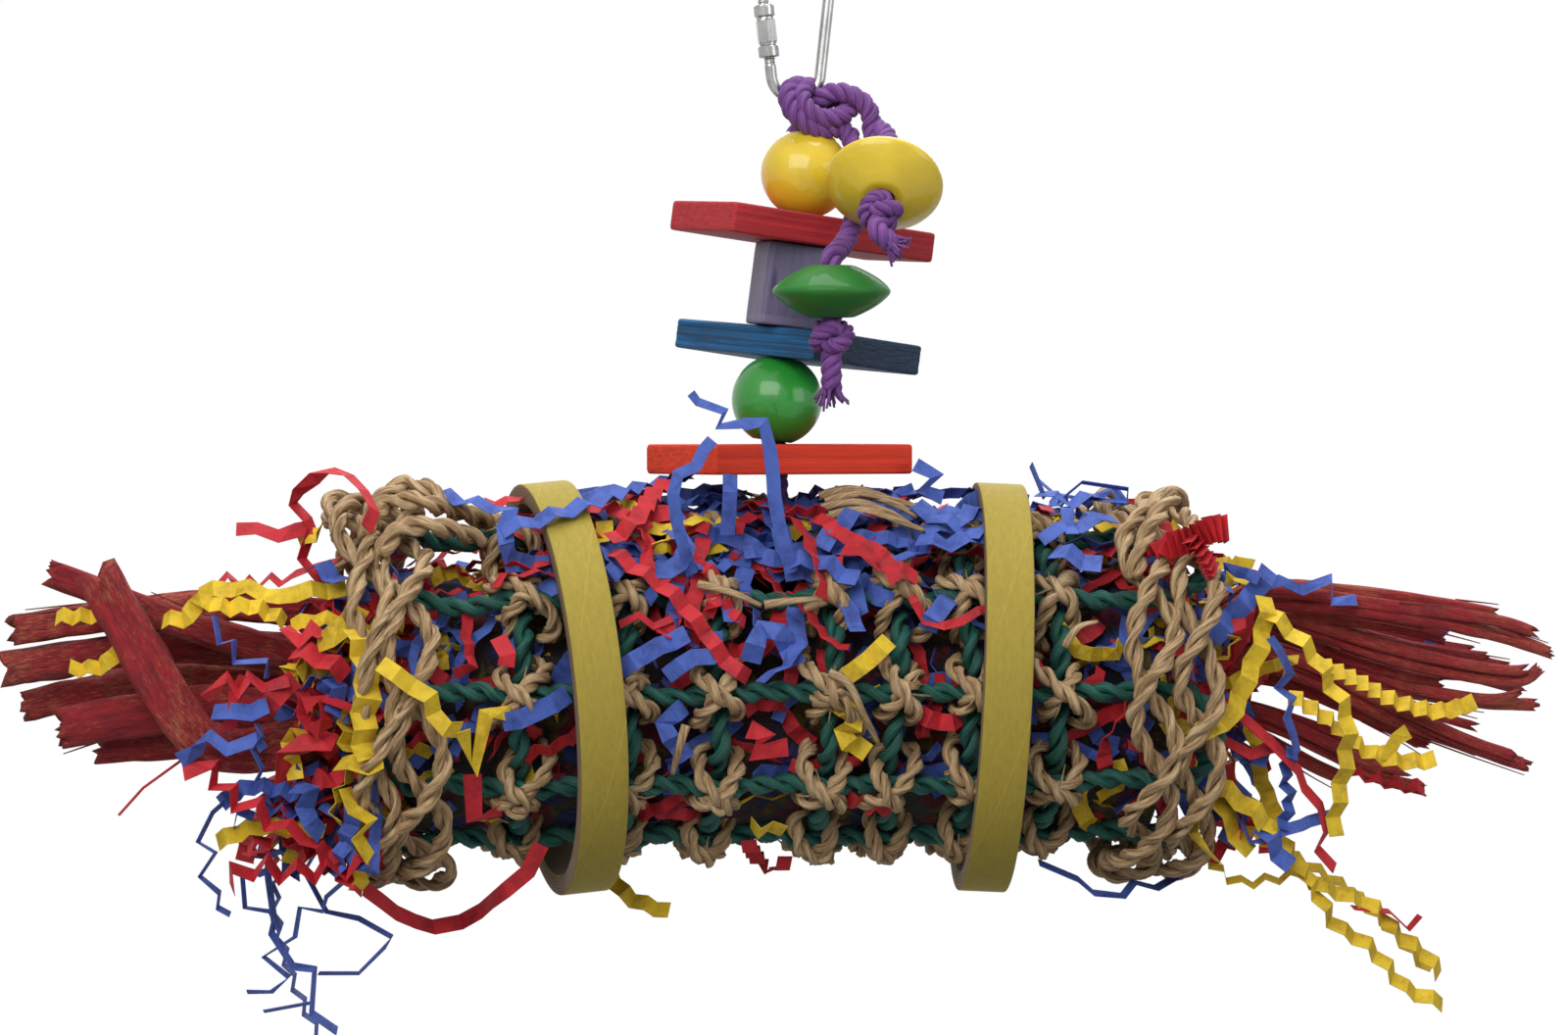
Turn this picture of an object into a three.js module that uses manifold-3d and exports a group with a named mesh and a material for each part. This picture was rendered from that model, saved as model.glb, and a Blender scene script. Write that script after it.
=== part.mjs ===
// Hanging bird toy: a stack of wooden beads and slats on a rope, above a stuffed tube of knotted cord.
// Millimetres, +Z up, +X along the tube. The origin is the hang point inside the top of the quick link.
import * as THREE from "three";
import { mergeVertices } from "three/addons/utils/BufferGeometryUtils.js";
import Module from "manifold-3d";

const wasm = await Module();
wasm.setup();

const FIT_GAP = 0.3; // between pieces that touch
const RUN_CLEARANCE = 0.4; // rope to bore, on the radius

// Quick link: a pear of bent wire, narrow end down, with a screw sleeve on its left leg
const LINK_WIRE_D = 3.2;
const LINK_LENGTH = 52; // outside
const LINK_NARROW_R = 6.8; // centre line of the lower bend
const LINK_WIDE_R = 10.3; // centre line of the upper bend
const LINK_GATE_GAP = 7; // between the threaded wire ends, under the sleeve
const SLEEVE_LENGTH = 14.5;
const SLEEVE_D = 5.8;
const SLEEVE_WAIST_D = 5.3;
const SLEEVE_COLLAR = 3.2; // plain length at each end of the sleeve
const SLEEVE_UP = 12.5; // sleeve centre above the lower bend's centre, along the leg

// Rope
const ROPE_D = 6;
const ROPE_TILT = 7.4; // degrees, the stack leans to the right at its top
const KNOT_LOOP_R = 5.2; // centre line of the loop round the wire
const KNOT_BODY = new THREE.Vector3(9.5, 6, 4); // half sizes of the lump under the loop
const KNOT_BODY_AT = new THREE.Vector3(7.6, 0, -4.9);
const BIGHT_R = 4.6; // centre line of the turned-over loop on the knot's right
const BIGHT_AT = new THREE.Vector3(16.2, -1, -4.4);

// Stack on the rope, from the top down
const STACK_TOP_X = 2.9; // yellow bead's centre, from the hang axis
const STACK_TOP_DROP = 20.5; // yellow bead's centre below the link's lower wire
const STACK_GAP = 0.3;
const BEAD_D = 25;
const BEAD_HEIGHT = 22.6;
const SLAT_LENGTH = 63.5;
const SLAT_WIDTH = 38.1;
const SLAT_THICKNESS = 8.2;
const BLOCK_SIDE = 19.2;
const BLOCK_HEIGHT = 22.8;
const BLOCK_YAW = 6;
// Each slat: its turn on the rope, and its hole measured from the end and the edge that meet at the near corner
const SLATS = {
  red_slat: { yaw: 20, end: -1, fromEnd: 27.5, edge: -1, fromEdge: 13.2 },
  blue_slat: { yaw: -60, end: 1, fromEnd: 23.2, edge: -1, fromEdge: 7.8 },
  orange_slat: { yaw: 23, end: -1, fromEnd: 31.3, edge: -1, fromEdge: 19.2 },
};

// Tassels that hang off the knot in front of the stack
const DISC_D = 32;
const DISC_THICKNESS = 14;
const DISC_FLAT_D = 13; // flat round each end of the hole
const DISC_AT = new THREE.Vector3(19.8, -30.5, -24.6); // from the link's lower wire
const DISC_AXIS = new THREE.Vector3(-0.2, -0.72, -0.66).normalize();
const SAUCER_AT = new THREE.Vector3(5.4, -30.5, -53.8);
const TASSEL_PIVOT = new THREE.Vector3(22.2, -6.7, -8.7); // where the tassels leave the knot, from the lower wire
const SAUCER_ROPE = [
  [15, -6.5, -12.6],
  [16, -12, -18],
  [15, -15.4, -27],
  [13, -17, -36],
  [10, -20, -41],
]; // the rope's way over the red slat, from the link's lower wire
const SAUCER_TAIL = 15; // rope past the saucer's stopper knot
const STOPPER_D = 12.5;
const STOPPER_HEIGHT = 10;
const DISC_TAIL = 9; // rope past the disc's stopper knot
const DISC_TAIL_AIM = new THREE.Vector3(0.75, -0.1, -0.65);

// Woven tube
const TUBE_X = -4.5; // middle of the tube, from the hang axis
const TUBE_DROP = 161.9; // tube axis below the link's lower wire
const TUBE_LENGTH = 232;
const TAIL_X = -5; // rope into the tube, from the hang axis
const TAIL_SINK = 17; // anchor knot below the tube's top
const ANCHOR_D = 11;
const CORD_D = 4.8;
const LASHING_D = 3.2;
const STUFFING_R = 35.9;
const POCKET_R = 27; // hollow in each end of the stuffing, for the sticks
const POCKET_DEPTH = 40;
const ROPE_WELL_R = 4.7; // hole in the stuffing's top, wide enough for the rope to rock
const WARP_COUNT = 5; // closed loops of cord, two runs each
const HOOPS = [-0.321, -0.2, -0.097, 0.0345, 0.114, 0.2026, 0.304]; // places, as shares of the tube's length
const LASHING_SWING = 4.6; // how far a lashing weaves to each side of its hoop
const BAND_SPAN = 13; // half width of an end band's weave
const BAND_FLARE = 2.2; // the bands widen outwards by this much

// Cardboard rings round the tube, each between two hoops; sag lowers one until it rests on the lashings
const RING_CLEARANCE = 1.6; // over the lashings, so that the rings can lean
const RING_WALL = 5.4;
const RING_WIDTH = 13;
const RINGS = [
  { name: "ring_left", after: 0, yaw: 5, lean: -5.2, sag: 0 },
  { name: "ring_right", after: 5, yaw: -5, lean: 2.7, sag: 0.7 },
];

// Dyed palm sticks: size, then the route as [past the tube's end, depth, height], from the pocket's floor out
const STICK_END_GAP = 0.4;
const STICKS_LEFT = [
  { w: 10, t: 6,
    route: [[-40, -16, -4], [-4, -18.5, -8], [20, -21, -14], [38, -23, -15], [50, -24, -5], [74, -25, 37]] },
  { w: 6.5, t: 5, route: [[-40, -8, 8], [-2, -9, 7], [35, -12, 14], [88, -13, 34]] },
  { w: 10, t: 5, route: [[-40, -8, -12], [-2, -8.5, -10], [40, -10, -4], [86, -11, -10]] },
  { w: 7, t: 5, route: [[-40, 0, 16], [-2, 0, 19], [40, -1, 23], [99, -2, 16]] },
  { w: 7.5, t: 5, route: [[-40, 0, 5], [-2, 0, 8], [50, -1, 12], [101, -2, 5]] },
  { w: 7, t: 5, route: [[-40, 0, -13], [-2, 0, -14], [38, -1, -14], [76, -2, -16]] },
  { w: 7, t: 5, route: [[-40, 8, -4], [-2, 8, 0], [50, 8, 3], [95, 8, -6]] },
];
const STICKS_RIGHT = [
  { w: 6.5, t: 4.5,
    route: [[-40, -14, 12], [-2, -14, 17], [18, -14, 24], [50, -14, 22], [83, -12, 16], [100, -11, 10]] },
  { w: 6, t: 4.5, route: [[-40, -6, 12], [-2, -6, 16], [20, -6, 19], [57, -6, 8], [90, -5, 3], [99, -4, 5]] },
  { w: 6.5, t: 4.5, route: [[-40, 2, 8], [-2, 2, 12], [28, 2, 12], [58, 2, 0], [84, 2, -5], [99, 3, -4]] },
  { w: 6, t: 4.5,
    route: [[-40, -14, -2], [-2, -14, 2], [20, -14, 7], [54, -14, -7], [71, -13, -15], [93, -12, -22]] },
  { w: 6.5, t: 4.5, route: [[-40, 10, 12], [-2, 10, 15], [30, 10, 17], [60, 10, 8], [98, 10, 1]] },
  { w: 6, t: 4.5,
    route: [[-40, -6, -8], [-2, -6, -7], [15, -6, -9], [38, -6, -18], [50, -6, -25], [65, -6, -28]] },
];

// Crinkled paper strips that hang lowest: folded ribbons on routes [past the stuffing's end, height]
const PAPER_T = 0.6;
const PAPER_W = 4;
const FOLD_STEP = 3.6; // along the strip, fold to fold
const FOLD_RISE = 0.8; // each fold to the side
const STRIPS = [
  { name: "paper_strip_left", end: -1, color: 0x2c3f9a,
    route: [[0.5, -30], [13, -37], [27, -52], [24, -76], [14, -98]] },
  { name: "paper_strip_right", end: 1, color: 0xd9b52c,
    route: [[0.5, -30], [13, -37], [29, -46], [52, -60], [73, -81]] },
];

// Materials
const MATERIALS = {
  steel: new THREE.MeshStandardMaterial({ color: 0xc9c9c6, roughness: 0.22, metalness: 1 }),
  rope: new THREE.MeshStandardMaterial({ color: 0x6d3a93, roughness: 0.75 }),
  yellow: new THREE.MeshStandardMaterial({ color: 0xdcb62f, roughness: 0.25 }),
  green: new THREE.MeshStandardMaterial({ color: 0x2a8a35, roughness: 0.25 }),
  redWood: new THREE.MeshStandardMaterial({ color: 0xa8242e, roughness: 0.7 }),
  lavender: new THREE.MeshStandardMaterial({ color: 0x6a6488, roughness: 0.6 }),
  blueWood: new THREE.MeshStandardMaterial({ color: 0x1d5580, roughness: 0.7 }),
  orangeWood: new THREE.MeshStandardMaterial({ color: 0xd23c18, roughness: 0.7 }),
  card: new THREE.MeshStandardMaterial({ color: 0xb39d33, roughness: 0.85 }),
  greenCord: new THREE.MeshStandardMaterial({ color: 0x1c5a49, roughness: 0.7 }),
  naturalCord: new THREE.MeshStandardMaterial({ color: 0xb08a5c, roughness: 0.8 }),
  stick: new THREE.MeshStandardMaterial({ color: 0x8e1f26, roughness: 0.85 }),
  paper: new THREE.MeshStandardMaterial({ color: 0x5a3f63, roughness: 0.9 }),
};

// Shared places
const deg = THREE.MathUtils.degToRad;
const wireR = LINK_WIRE_D / 2;
const ropeR = ROPE_D / 2;
const cordR = CORD_D / 2;
const linkLowZ = -(LINK_LENGTH - 2 * LINK_WIRE_D) - wireR; // centre of the lower wire
const fromWire = (v) => new THREE.Vector3(v.x, v.y, v.z + linkLowZ);
const stackTop = new THREE.Vector3(STACK_TOP_X, 0, linkLowZ - STACK_TOP_DROP);
const stackDown = new THREE.Vector3(-Math.sin(deg(ROPE_TILT)), 0, -Math.cos(deg(ROPE_TILT)));
const onStack = (s) => stackTop.clone().addScaledVector(stackDown, s);
const redS = BEAD_HEIGHT / 2 + STACK_GAP + SLAT_THICKNESS / 2;
const blockS = redS + SLAT_THICKNESS / 2 + STACK_GAP + BLOCK_HEIGHT / 2;
const blueS = blockS + BLOCK_HEIGHT / 2 + STACK_GAP + SLAT_THICKNESS / 2;
const greenS = blueS + SLAT_THICKNESS / 2 + STACK_GAP + BEAD_HEIGHT / 2;
const boreR = ropeR + RUN_CLEARANCE;
const beadFlatR = Math.sqrt((BEAD_D / 2) ** 2 - (BEAD_HEIGHT / 2) ** 2);
const stackEndZ = onStack(greenS + BEAD_HEIGHT / 2).z - beadFlatR * Math.sin(deg(ROPE_TILT));
const orangeZ = stackEndZ - STACK_GAP - SLAT_THICKNESS / 2;
const tubeZ = linkLowZ - TUBE_DROP;
const hoopR = STUFFING_R + FIT_GAP + cordR;
const warpR = hoopR + CORD_D + FIT_GAP;
const lashingR = warpR + cordR + FIT_GAP + LASHING_D / 2;
const bandInnerR = warpR + CORD_D + FIT_GAP;
const bandOuterR = bandInnerR + CORD_D + FIT_GAP;
const tubeEnd = TUBE_LENGTH / 2;
const hoopX = HOOPS.map((share) => share * TUBE_LENGTH);

// Solids from geometry and back
function solid(geometry) {
  const bare = geometry.index ? geometry.toNonIndexed() : geometry.clone();
  bare.deleteAttribute("normal");
  bare.deleteAttribute("uv");
  const merged = mergeVertices(bare, 1e-4);
  return new wasm.Manifold(
    new wasm.Mesh({
      numProp: 3,
      vertProperties: new Float32Array(merged.attributes.position.array),
      triVerts: new Uint32Array(merged.index.array),
    }),
  );
}

function fromSolid(made) {
  const mesh = made.getMesh();
  const geometry = new THREE.BufferGeometry();
  geometry.setAttribute("position", new THREE.BufferAttribute(new Float32Array(mesh.vertProperties), 3));
  geometry.setIndex(new THREE.BufferAttribute(new Uint32Array(mesh.triVerts), 1));
  geometry.computeVertexNormals();
  return geometry;
}

const joined = (...parts) => fromSolid(parts.map(solid).reduce((a, b) => a.add(b)));
const cut = (body, ...tools) => fromSolid(tools.map(solid).reduce((a, b) => a.subtract(b), solid(body)));

// A round section for sweeps
function roundShape(radius, sides) {
  const shape = new THREE.Shape();
  for (let i = 0; i < sides; i++) {
    const a = (2 * Math.PI * i) / sides;
    const x = radius * Math.cos(a);
    const y = radius * Math.sin(a);
    if (i) shape.lineTo(x, y);
    else shape.moveTo(x, y);
  }
  shape.closePath();
  return shape;
}

const sweep = (curve, radius, sides, steps) =>
  new THREE.ExtrudeGeometry(roundShape(radius, sides), { extrudePath: curve, steps, bevelEnabled: false });

// A bar of flat-sided section through the points, each ring set square to the route, and closed or capped.
// normalOf gives the direction across the bar at a point; the section is halfN along it and halfB across it.
function loft(points, normalOf, halfN, halfB, sides, closed, taper = 0) {
  const count = points.length;
  const positions = [];
  const faces = [];
  points.forEach((p, i) => {
    const before = points[closed ? (i + count - 1) % count : Math.max(i - 1, 0)];
    const after = points[closed ? (i + 1) % count : Math.min(i + 1, count - 1)];
    const along = after.clone().sub(before).normalize();
    const across = normalOf(p).clone().addScaledVector(along, -normalOf(p).dot(along)).normalize();
    const third = along.clone().cross(across);
    const size = 1 - (taper * i) / (count - 1);
    for (let k = 0; k < sides; k++) {
      const a = (2 * Math.PI * (k + 0.5)) / sides;
      const v = p.clone().addScaledVector(across, halfN * size * Math.cos(a));
      positions.push(...v.addScaledVector(third, halfB * size * Math.sin(a)).toArray());
    }
  });
  const spans = closed ? count : count - 1;
  for (let i = 0; i < spans; i++)
    for (let k = 0; k < sides; k++) {
      const a = i * sides + k;
      const b = i * sides + ((k + 1) % sides);
      const c = ((i + 1) % count) * sides + k;
      const d = ((i + 1) % count) * sides + ((k + 1) % sides);
      faces.push(a, b, d, a, d, c);
    }
  if (!closed)
    for (let k = 1; k + 1 < sides; k++) {
      const last = (count - 1) * sides;
      faces.push(0, k + 1, k);
      faces.push(last, last + k, last + k + 1);
    }
  const geometry = new THREE.BufferGeometry();
  geometry.setAttribute("position", new THREE.Float32BufferAttribute(positions, 3));
  geometry.setIndex(faces);
  return geometry;
}

// A round cord laid on the tube in a closed loop
const outward = (p) => new THREE.Vector3(0, p.y, p.z).normalize();
const cordLoop = (points, radius, sides) => loft(points, outward, radius, radius, sides, true);

// A solid of revolution about Z, from half-profile points [radius, height] listed anticlockwise
const turned = (profile, segments) =>
  new THREE.LatheGeometry([...profile, profile[0]].map(([r, z]) => new THREE.Vector2(r, z)), segments).rotateX(
    Math.PI / 2,
  );

const root = new THREE.Group();

function addMesh(parent, name, geometry, material) {
  const mesh = new THREE.Mesh(geometry, material);
  mesh.name = name;
  parent.add(mesh);
  return mesh;
}

// Quick link
const linkSpan = LINK_LENGTH - LINK_WIRE_D - LINK_NARROW_R - LINK_WIDE_R; // bend centre to bend centre
const legLean = Math.asin((LINK_WIDE_R - LINK_NARROW_R) / linkSpan);
const lowBendZ = linkLowZ + LINK_NARROW_R;
const legFoot = new THREE.Vector3(-LINK_NARROW_R * Math.cos(legLean), 0, lowBendZ - LINK_NARROW_R * Math.sin(legLean));
const legAlong = new THREE.Vector3(-Math.sin(legLean), 0, Math.cos(legLean));
const onLeg = (up) => legFoot.clone().addScaledVector(legAlong, up);

class LinkCurve extends THREE.Curve {
  // Runs from the gate's upper end over the top, down the right leg and round to the gate's lower end.
  constructor() {
    super();
    const legLength = linkSpan * Math.cos(legLean);
    const gateLow = SLEEVE_UP - LINK_GATE_GAP / 2;
    const gateHigh = SLEEVE_UP + LINK_GATE_GAP / 2;
    this.runs = [legLength - gateHigh, LINK_WIDE_R * (Math.PI + 2 * legLean), legLength];
    this.runs.push(LINK_NARROW_R * (Math.PI - 2 * legLean), gateLow);
    this.gateHigh = gateHigh;
    this.legLength = legLength;
    this.total = this.runs.reduce((a, b) => a + b, 0);
  }

  getPoint(t) {
    let s = t * this.total;
    const [upLeft, overTop, downRight, roundLow] = this.runs;
    const highBendZ = lowBendZ + linkSpan;
    if (s <= upLeft) return onLeg(this.gateHigh + s);
    s -= upLeft;
    if (s <= overTop) {
      const a = Math.PI + legLean - s / LINK_WIDE_R;
      return new THREE.Vector3(LINK_WIDE_R * Math.cos(a), 0, highBendZ + LINK_WIDE_R * Math.sin(a));
    }
    s -= overTop;
    if (s <= downRight) {
      const p = onLeg(this.legLength - s);
      return p.set(-p.x, 0, p.z);
    }
    s -= downRight;
    if (s <= roundLow) {
      const a = -legLean - s / LINK_NARROW_R;
      return new THREE.Vector3(LINK_NARROW_R * Math.cos(a), 0, lowBendZ + LINK_NARROW_R * Math.sin(a));
    }
    return onLeg(s - roundLow);
  }
}

function addLink(parent) {
  addMesh(parent, "quick_link_body", sweep(new LinkCurve(), wireR, 8, 42), MATERIALS.steel);
  const half = SLEEVE_LENGTH / 2;
  const collar = half - SLEEVE_COLLAR;
  const inner = wireR + FIT_GAP;
  const profile = [
    [inner, -half],
    [SLEEVE_D / 2, -half],
    [SLEEVE_D / 2, -collar],
    [SLEEVE_WAIST_D / 2, -collar],
    [SLEEVE_WAIST_D / 2, collar],
    [SLEEVE_D / 2, collar],
    [SLEEVE_D / 2, half],
    [inner, half],
  ];
  const sleeve = addMesh(parent, "quick_link_sleeve", turned(profile, 16), MATERIALS.steel);
  sleeve.position.copy(onLeg(SLEEVE_UP));
  sleeve.quaternion.setFromUnitVectors(new THREE.Vector3(0, 0, 1), legAlong);
}

// Knot that ties the rope to the link: a loop round the wire, a lump and a turned-over bight
function addTopKnot(parent) {
  const loop = new THREE.TorusGeometry(KNOT_LOOP_R, ropeR, 10, 18).rotateY(Math.PI / 2).translate(0.8, 0, linkLowZ);
  const at = fromWire(KNOT_BODY_AT);
  const lump = new THREE.SphereGeometry(1, 14, 9).scale(KNOT_BODY.x, KNOT_BODY.y, KNOT_BODY.z);
  lump.rotateY(deg(-10)).translate(at.x, at.y, at.z);
  const bightAt = fromWire(BIGHT_AT);
  const bight = new THREE.TorusGeometry(BIGHT_R, ropeR, 8, 14).rotateX(Math.PI / 2).translate(...bightAt.toArray());
  addMesh(parent, "top_knot", joined(lump, loop, bight), MATERIALS.rope);
}

// Rope through the stack
function addMainRope(parent) {
  const top = fromWire(new THREE.Vector3(0, 0, -KNOT_LOOP_R - ropeR - FIT_GAP - 0.9));
  const start = onStack((stackTop.z - top.z) / Math.cos(deg(ROPE_TILT)));
  const end = onStack(greenS + BEAD_HEIGHT / 2);
  addMesh(parent, "main_rope", sweep(new THREE.LineCurve3(start, end), ropeR, 10, 1), MATERIALS.rope);
}

function beadProfile(outerD, height, bore) {
  const half = height / 2;
  const flat = Math.acos(height / outerD);
  const points = [[bore, -half]];
  for (let i = 0; i <= 8; i++) {
    const a = -Math.PI / 2 + flat + ((Math.PI - 2 * flat) * i) / 8;
    points.push([(outerD / 2) * Math.cos(a), (outerD / 2) * Math.sin(a)]);
  }
  points.push([bore, half]);
  return points;
}

function placeOnStack(mesh, s, yaw) {
  mesh.position.copy(onStack(s));
  mesh.quaternion.setFromUnitVectors(new THREE.Vector3(0, 0, 1), stackDown.clone().negate());
  mesh.rotateZ(deg(yaw));
}

function slatGeometry({ end, fromEnd, edge, fromEdge }) {
  const left = end < 0 ? -fromEnd : fromEnd - SLAT_LENGTH;
  const front = edge < 0 ? -fromEdge : fromEdge - SLAT_WIDTH;
  const shape = new THREE.Shape();
  shape.moveTo(left, front);
  shape.lineTo(left + SLAT_LENGTH, front);
  shape.lineTo(left + SLAT_LENGTH, front + SLAT_WIDTH);
  shape.lineTo(left, front + SLAT_WIDTH);
  shape.holes.push(new THREE.Path().absarc(0, 0, boreR, 0, 2 * Math.PI, true));
  const made = new THREE.ExtrudeGeometry(shape, { depth: SLAT_THICKNESS, bevelEnabled: false, curveSegments: 12 });
  return made.translate(0, 0, -SLAT_THICKNESS / 2);
}

function blockGeometry() {
  const half = BLOCK_SIDE / 2;
  const shape = new THREE.Shape();
  shape.moveTo(-half, -half).lineTo(half, -half).lineTo(half, half).lineTo(-half, half);
  shape.holes.push(new THREE.Path().absarc(0, 0, boreR, 0, 2 * Math.PI, true));
  const made = new THREE.ExtrudeGeometry(shape, { depth: BLOCK_HEIGHT, bevelEnabled: false, curveSegments: 12 });
  return made.translate(0, 0, -BLOCK_HEIGHT / 2);
}

function addStack(parent) {
  const bead = beadProfile(BEAD_D, BEAD_HEIGHT, boreR);
  placeOnStack(addMesh(parent, "yellow_bead", turned(bead, 22), MATERIALS.yellow), 0, 0);
  const { red_slat: red, blue_slat: blue, orange_slat: low } = SLATS;
  placeOnStack(addMesh(parent, "red_slat", slatGeometry(red), MATERIALS.redWood), redS, red.yaw);
  placeOnStack(addMesh(parent, "lavender_block", blockGeometry(), MATERIALS.lavender), blockS, BLOCK_YAW);
  placeOnStack(addMesh(parent, "blue_slat", slatGeometry(blue), MATERIALS.blueWood), blueS, blue.yaw);
  placeOnStack(addMesh(parent, "green_bead", turned(bead, 22), MATERIALS.green), greenS, 0);
  const orange = addMesh(parent, "orange_slat", slatGeometry(low), MATERIALS.orangeWood);
  orange.position.set(TAIL_X, 0, orangeZ);
  orange.rotation.z = deg(low.yaw);
}

// Rope from the stack into the tube, with the knot that holds the tube
function addRopeTail(parent) {
  const anchorZ = tubeZ + STUFFING_R - TAIL_SINK;
  const top = new THREE.Vector3(TAIL_X, 0, stackEndZ - STACK_GAP);
  const stem = sweep(new THREE.LineCurve3(top, new THREE.Vector3(TAIL_X, 0, anchorZ)), ropeR, 10, 1);
  const knot = new THREE.SphereGeometry(ANCHOR_D / 2, 12, 8).translate(TAIL_X, 0, anchorZ);
  addMesh(parent, "rope_tail", joined(stem, knot), MATERIALS.rope);
}

// Tassels
function saucerProfile(bore) {
  const half = DISC_THICKNESS / 2;
  const rim = DISC_D / 2;
  const points = [
    [bore, -half],
    [DISC_FLAT_D / 2, -half],
    [rim * 0.72, -half * 0.62],
    [rim * 0.93, -half * 0.25],
    [rim, 0],
    [rim * 0.93, half * 0.25],
    [rim * 0.72, half * 0.62],
    [DISC_FLAT_D / 2, half],
    [bore, half],
  ];
  return points;
}

function stopperProfile() {
  const half = STOPPER_HEIGHT / 2;
  const r = STOPPER_D / 2;
  return [
    [boreR, -half],
    [r * 0.8, -half],
    [r, -half * 0.45],
    [r, half * 0.45],
    [r * 0.8, half],
    [boreR, half],
  ];
}

function addTassels(parent) {
  const up = new THREE.Vector3(0, 0, 1);
  const discAt = fromWire(DISC_AT);
  const disc = addMesh(parent, "yellow_disc", turned(saucerProfile(boreR), 24), MATERIALS.yellow);
  disc.position.copy(discAt);
  disc.quaternion.setFromUnitVectors(up, DISC_AXIS);
  const reach = DISC_THICKNESS / 2 + FIT_GAP + STOPPER_HEIGHT / 2;
  const onDisc = (s) => discAt.clone().addScaledVector(DISC_AXIS, s);
  const discKnot = addMesh(parent, "disc_stopper_knot", turned(stopperProfile(), 14), MATERIALS.rope);
  discKnot.position.copy(onDisc(reach));
  discKnot.quaternion.setFromUnitVectors(up, DISC_AXIS);
  const knotEnd = onDisc(reach + STOPPER_HEIGHT / 2 + 3);
  const discStart = fromWire(TASSEL_PIVOT);
  const discRoute = new THREE.CatmullRomCurve3([
    discStart,
    fromWire(new THREE.Vector3(23.4, -13, -11.5)),
    onDisc(-DISC_THICKNESS / 2 - 4),
    onDisc(-DISC_THICKNESS / 2),
    onDisc(0),
    onDisc(reach),
    onDisc(reach + STOPPER_HEIGHT / 2),
    knotEnd,
    knotEnd.clone().addScaledVector(DISC_TAIL_AIM, DISC_TAIL),
  ]);
  const ball = new THREE.SphereGeometry(ropeR, 10, 8).translate(...discStart.toArray());
  addMesh(parent, "disc_tassel_rope", joined(sweep(discRoute, ropeR, 8, 20), ball), MATERIALS.rope);

  const saucerAt = fromWire(SAUCER_AT);
  const saucer = addMesh(parent, "green_saucer", turned(saucerProfile(boreR), 24), MATERIALS.green);
  saucer.position.copy(saucerAt);
  const onSaucer = (s) => saucerAt.clone().setZ(saucerAt.z - s);
  const knot = addMesh(parent, "saucer_stopper_knot", turned(stopperProfile(), 14), MATERIALS.rope);
  knot.position.copy(onSaucer(reach));
  const saucerRoute = new THREE.CatmullRomCurve3([
    ...SAUCER_ROPE.map((p) => fromWire(new THREE.Vector3(...p))),
    onSaucer(-DISC_THICKNESS / 2 - 2),
    onSaucer(-DISC_THICKNESS / 2 + 2),
    onSaucer(0),
    onSaucer(reach),
    onSaucer(reach + STOPPER_HEIGHT / 2 + 1),
    onSaucer(reach + STOPPER_HEIGHT / 2 + SAUCER_TAIL),
  ]);
  addMesh(parent, "saucer_tassel_rope", sweep(saucerRoute, ropeR, 8, 28), MATERIALS.rope);
}

// Tube: everything here is laid out along X about the tube's own axis
const aroundTube = (x, r, a) => new THREE.Vector3(x, -r * Math.sin(a), r * Math.cos(a)); // a = 0 is the top

function addHoops(tube) {
  hoopX.forEach((x, i) => {
    const hoop = new THREE.TorusGeometry(hoopR, cordR, 5, 28).rotateY(Math.PI / 2).translate(x, 0, 0);
    addMesh(tube, `hoop_cord_${i + 1}`, hoop, MATERIALS.greenCord);
    const points = [];
    const turns = WARP_COUNT * 4;
    for (let k = 0; k < turns; k++) {
      const swing = LASHING_SWING * Math.sin((Math.PI / 2) * k);
      points.push(aroundTube(x + swing, lashingR, (2 * Math.PI * k) / turns));
    }
    addMesh(tube, `lashing_cord_${i + 1}`, cordLoop(points, LASHING_D / 2, 5), MATERIALS.naturalCord);
  });
}

// Each warp cord is a closed loop of two runs, turned back at both ends of the tube
function addWarps(tube) {
  const runAngle = Math.PI / WARP_COUNT;
  const bendR = (warpR * runAngle) / 2;
  const straight = tubeEnd - bendR - cordR;
  for (let i = 0; i < WARP_COUNT; i++) {
    const middle = runAngle * (2 * i + 1);
    const points = [];
    for (const end of [1, -1]) {
      for (let k = 0; k <= 4; k++) {
        const a = -Math.PI / 2 + (Math.PI * k) / 4;
        const x = end * (straight + bendR * Math.cos(a));
        points.push(aroundTube(x, warpR, middle + (end * runAngle * Math.sin(a)) / 2));
      }
    }
    addMesh(tube, `warp_cord_${i + 1}`, cordLoop(points, cordR, 6), MATERIALS.greenCord);
  }
}

// Two natural cords weave to and fro round each end of the tube
function addBands(tube) {
  for (const [side, sign] of [
    ["left", -1],
    ["right", 1],
  ]) {
    const middle = sign * (tubeEnd - BAND_SPAN - cordR);
    for (const [layer, r, phase] of [
      ["inner", bandInnerR, 1],
      ["outer", bandOuterR, -1],
    ]) {
      const points = [];
      const count = WARP_COUNT * 8;
      for (let k = 0; k < count; k++) {
        const weave = Math.sin((Math.PI / 4) * (k + 0.5)) * phase;
        const angle = (2 * Math.PI * (k + 0.5)) / count;
        points.push(aroundTube(middle + sign * weave * BAND_SPAN, r + (BAND_FLARE * (1 + weave)) / 2, angle));
      }
      addMesh(tube, `end_band_${side}_${layer}`, cordLoop(points, cordR, 6), MATERIALS.naturalCord);
    }
  }
}

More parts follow.
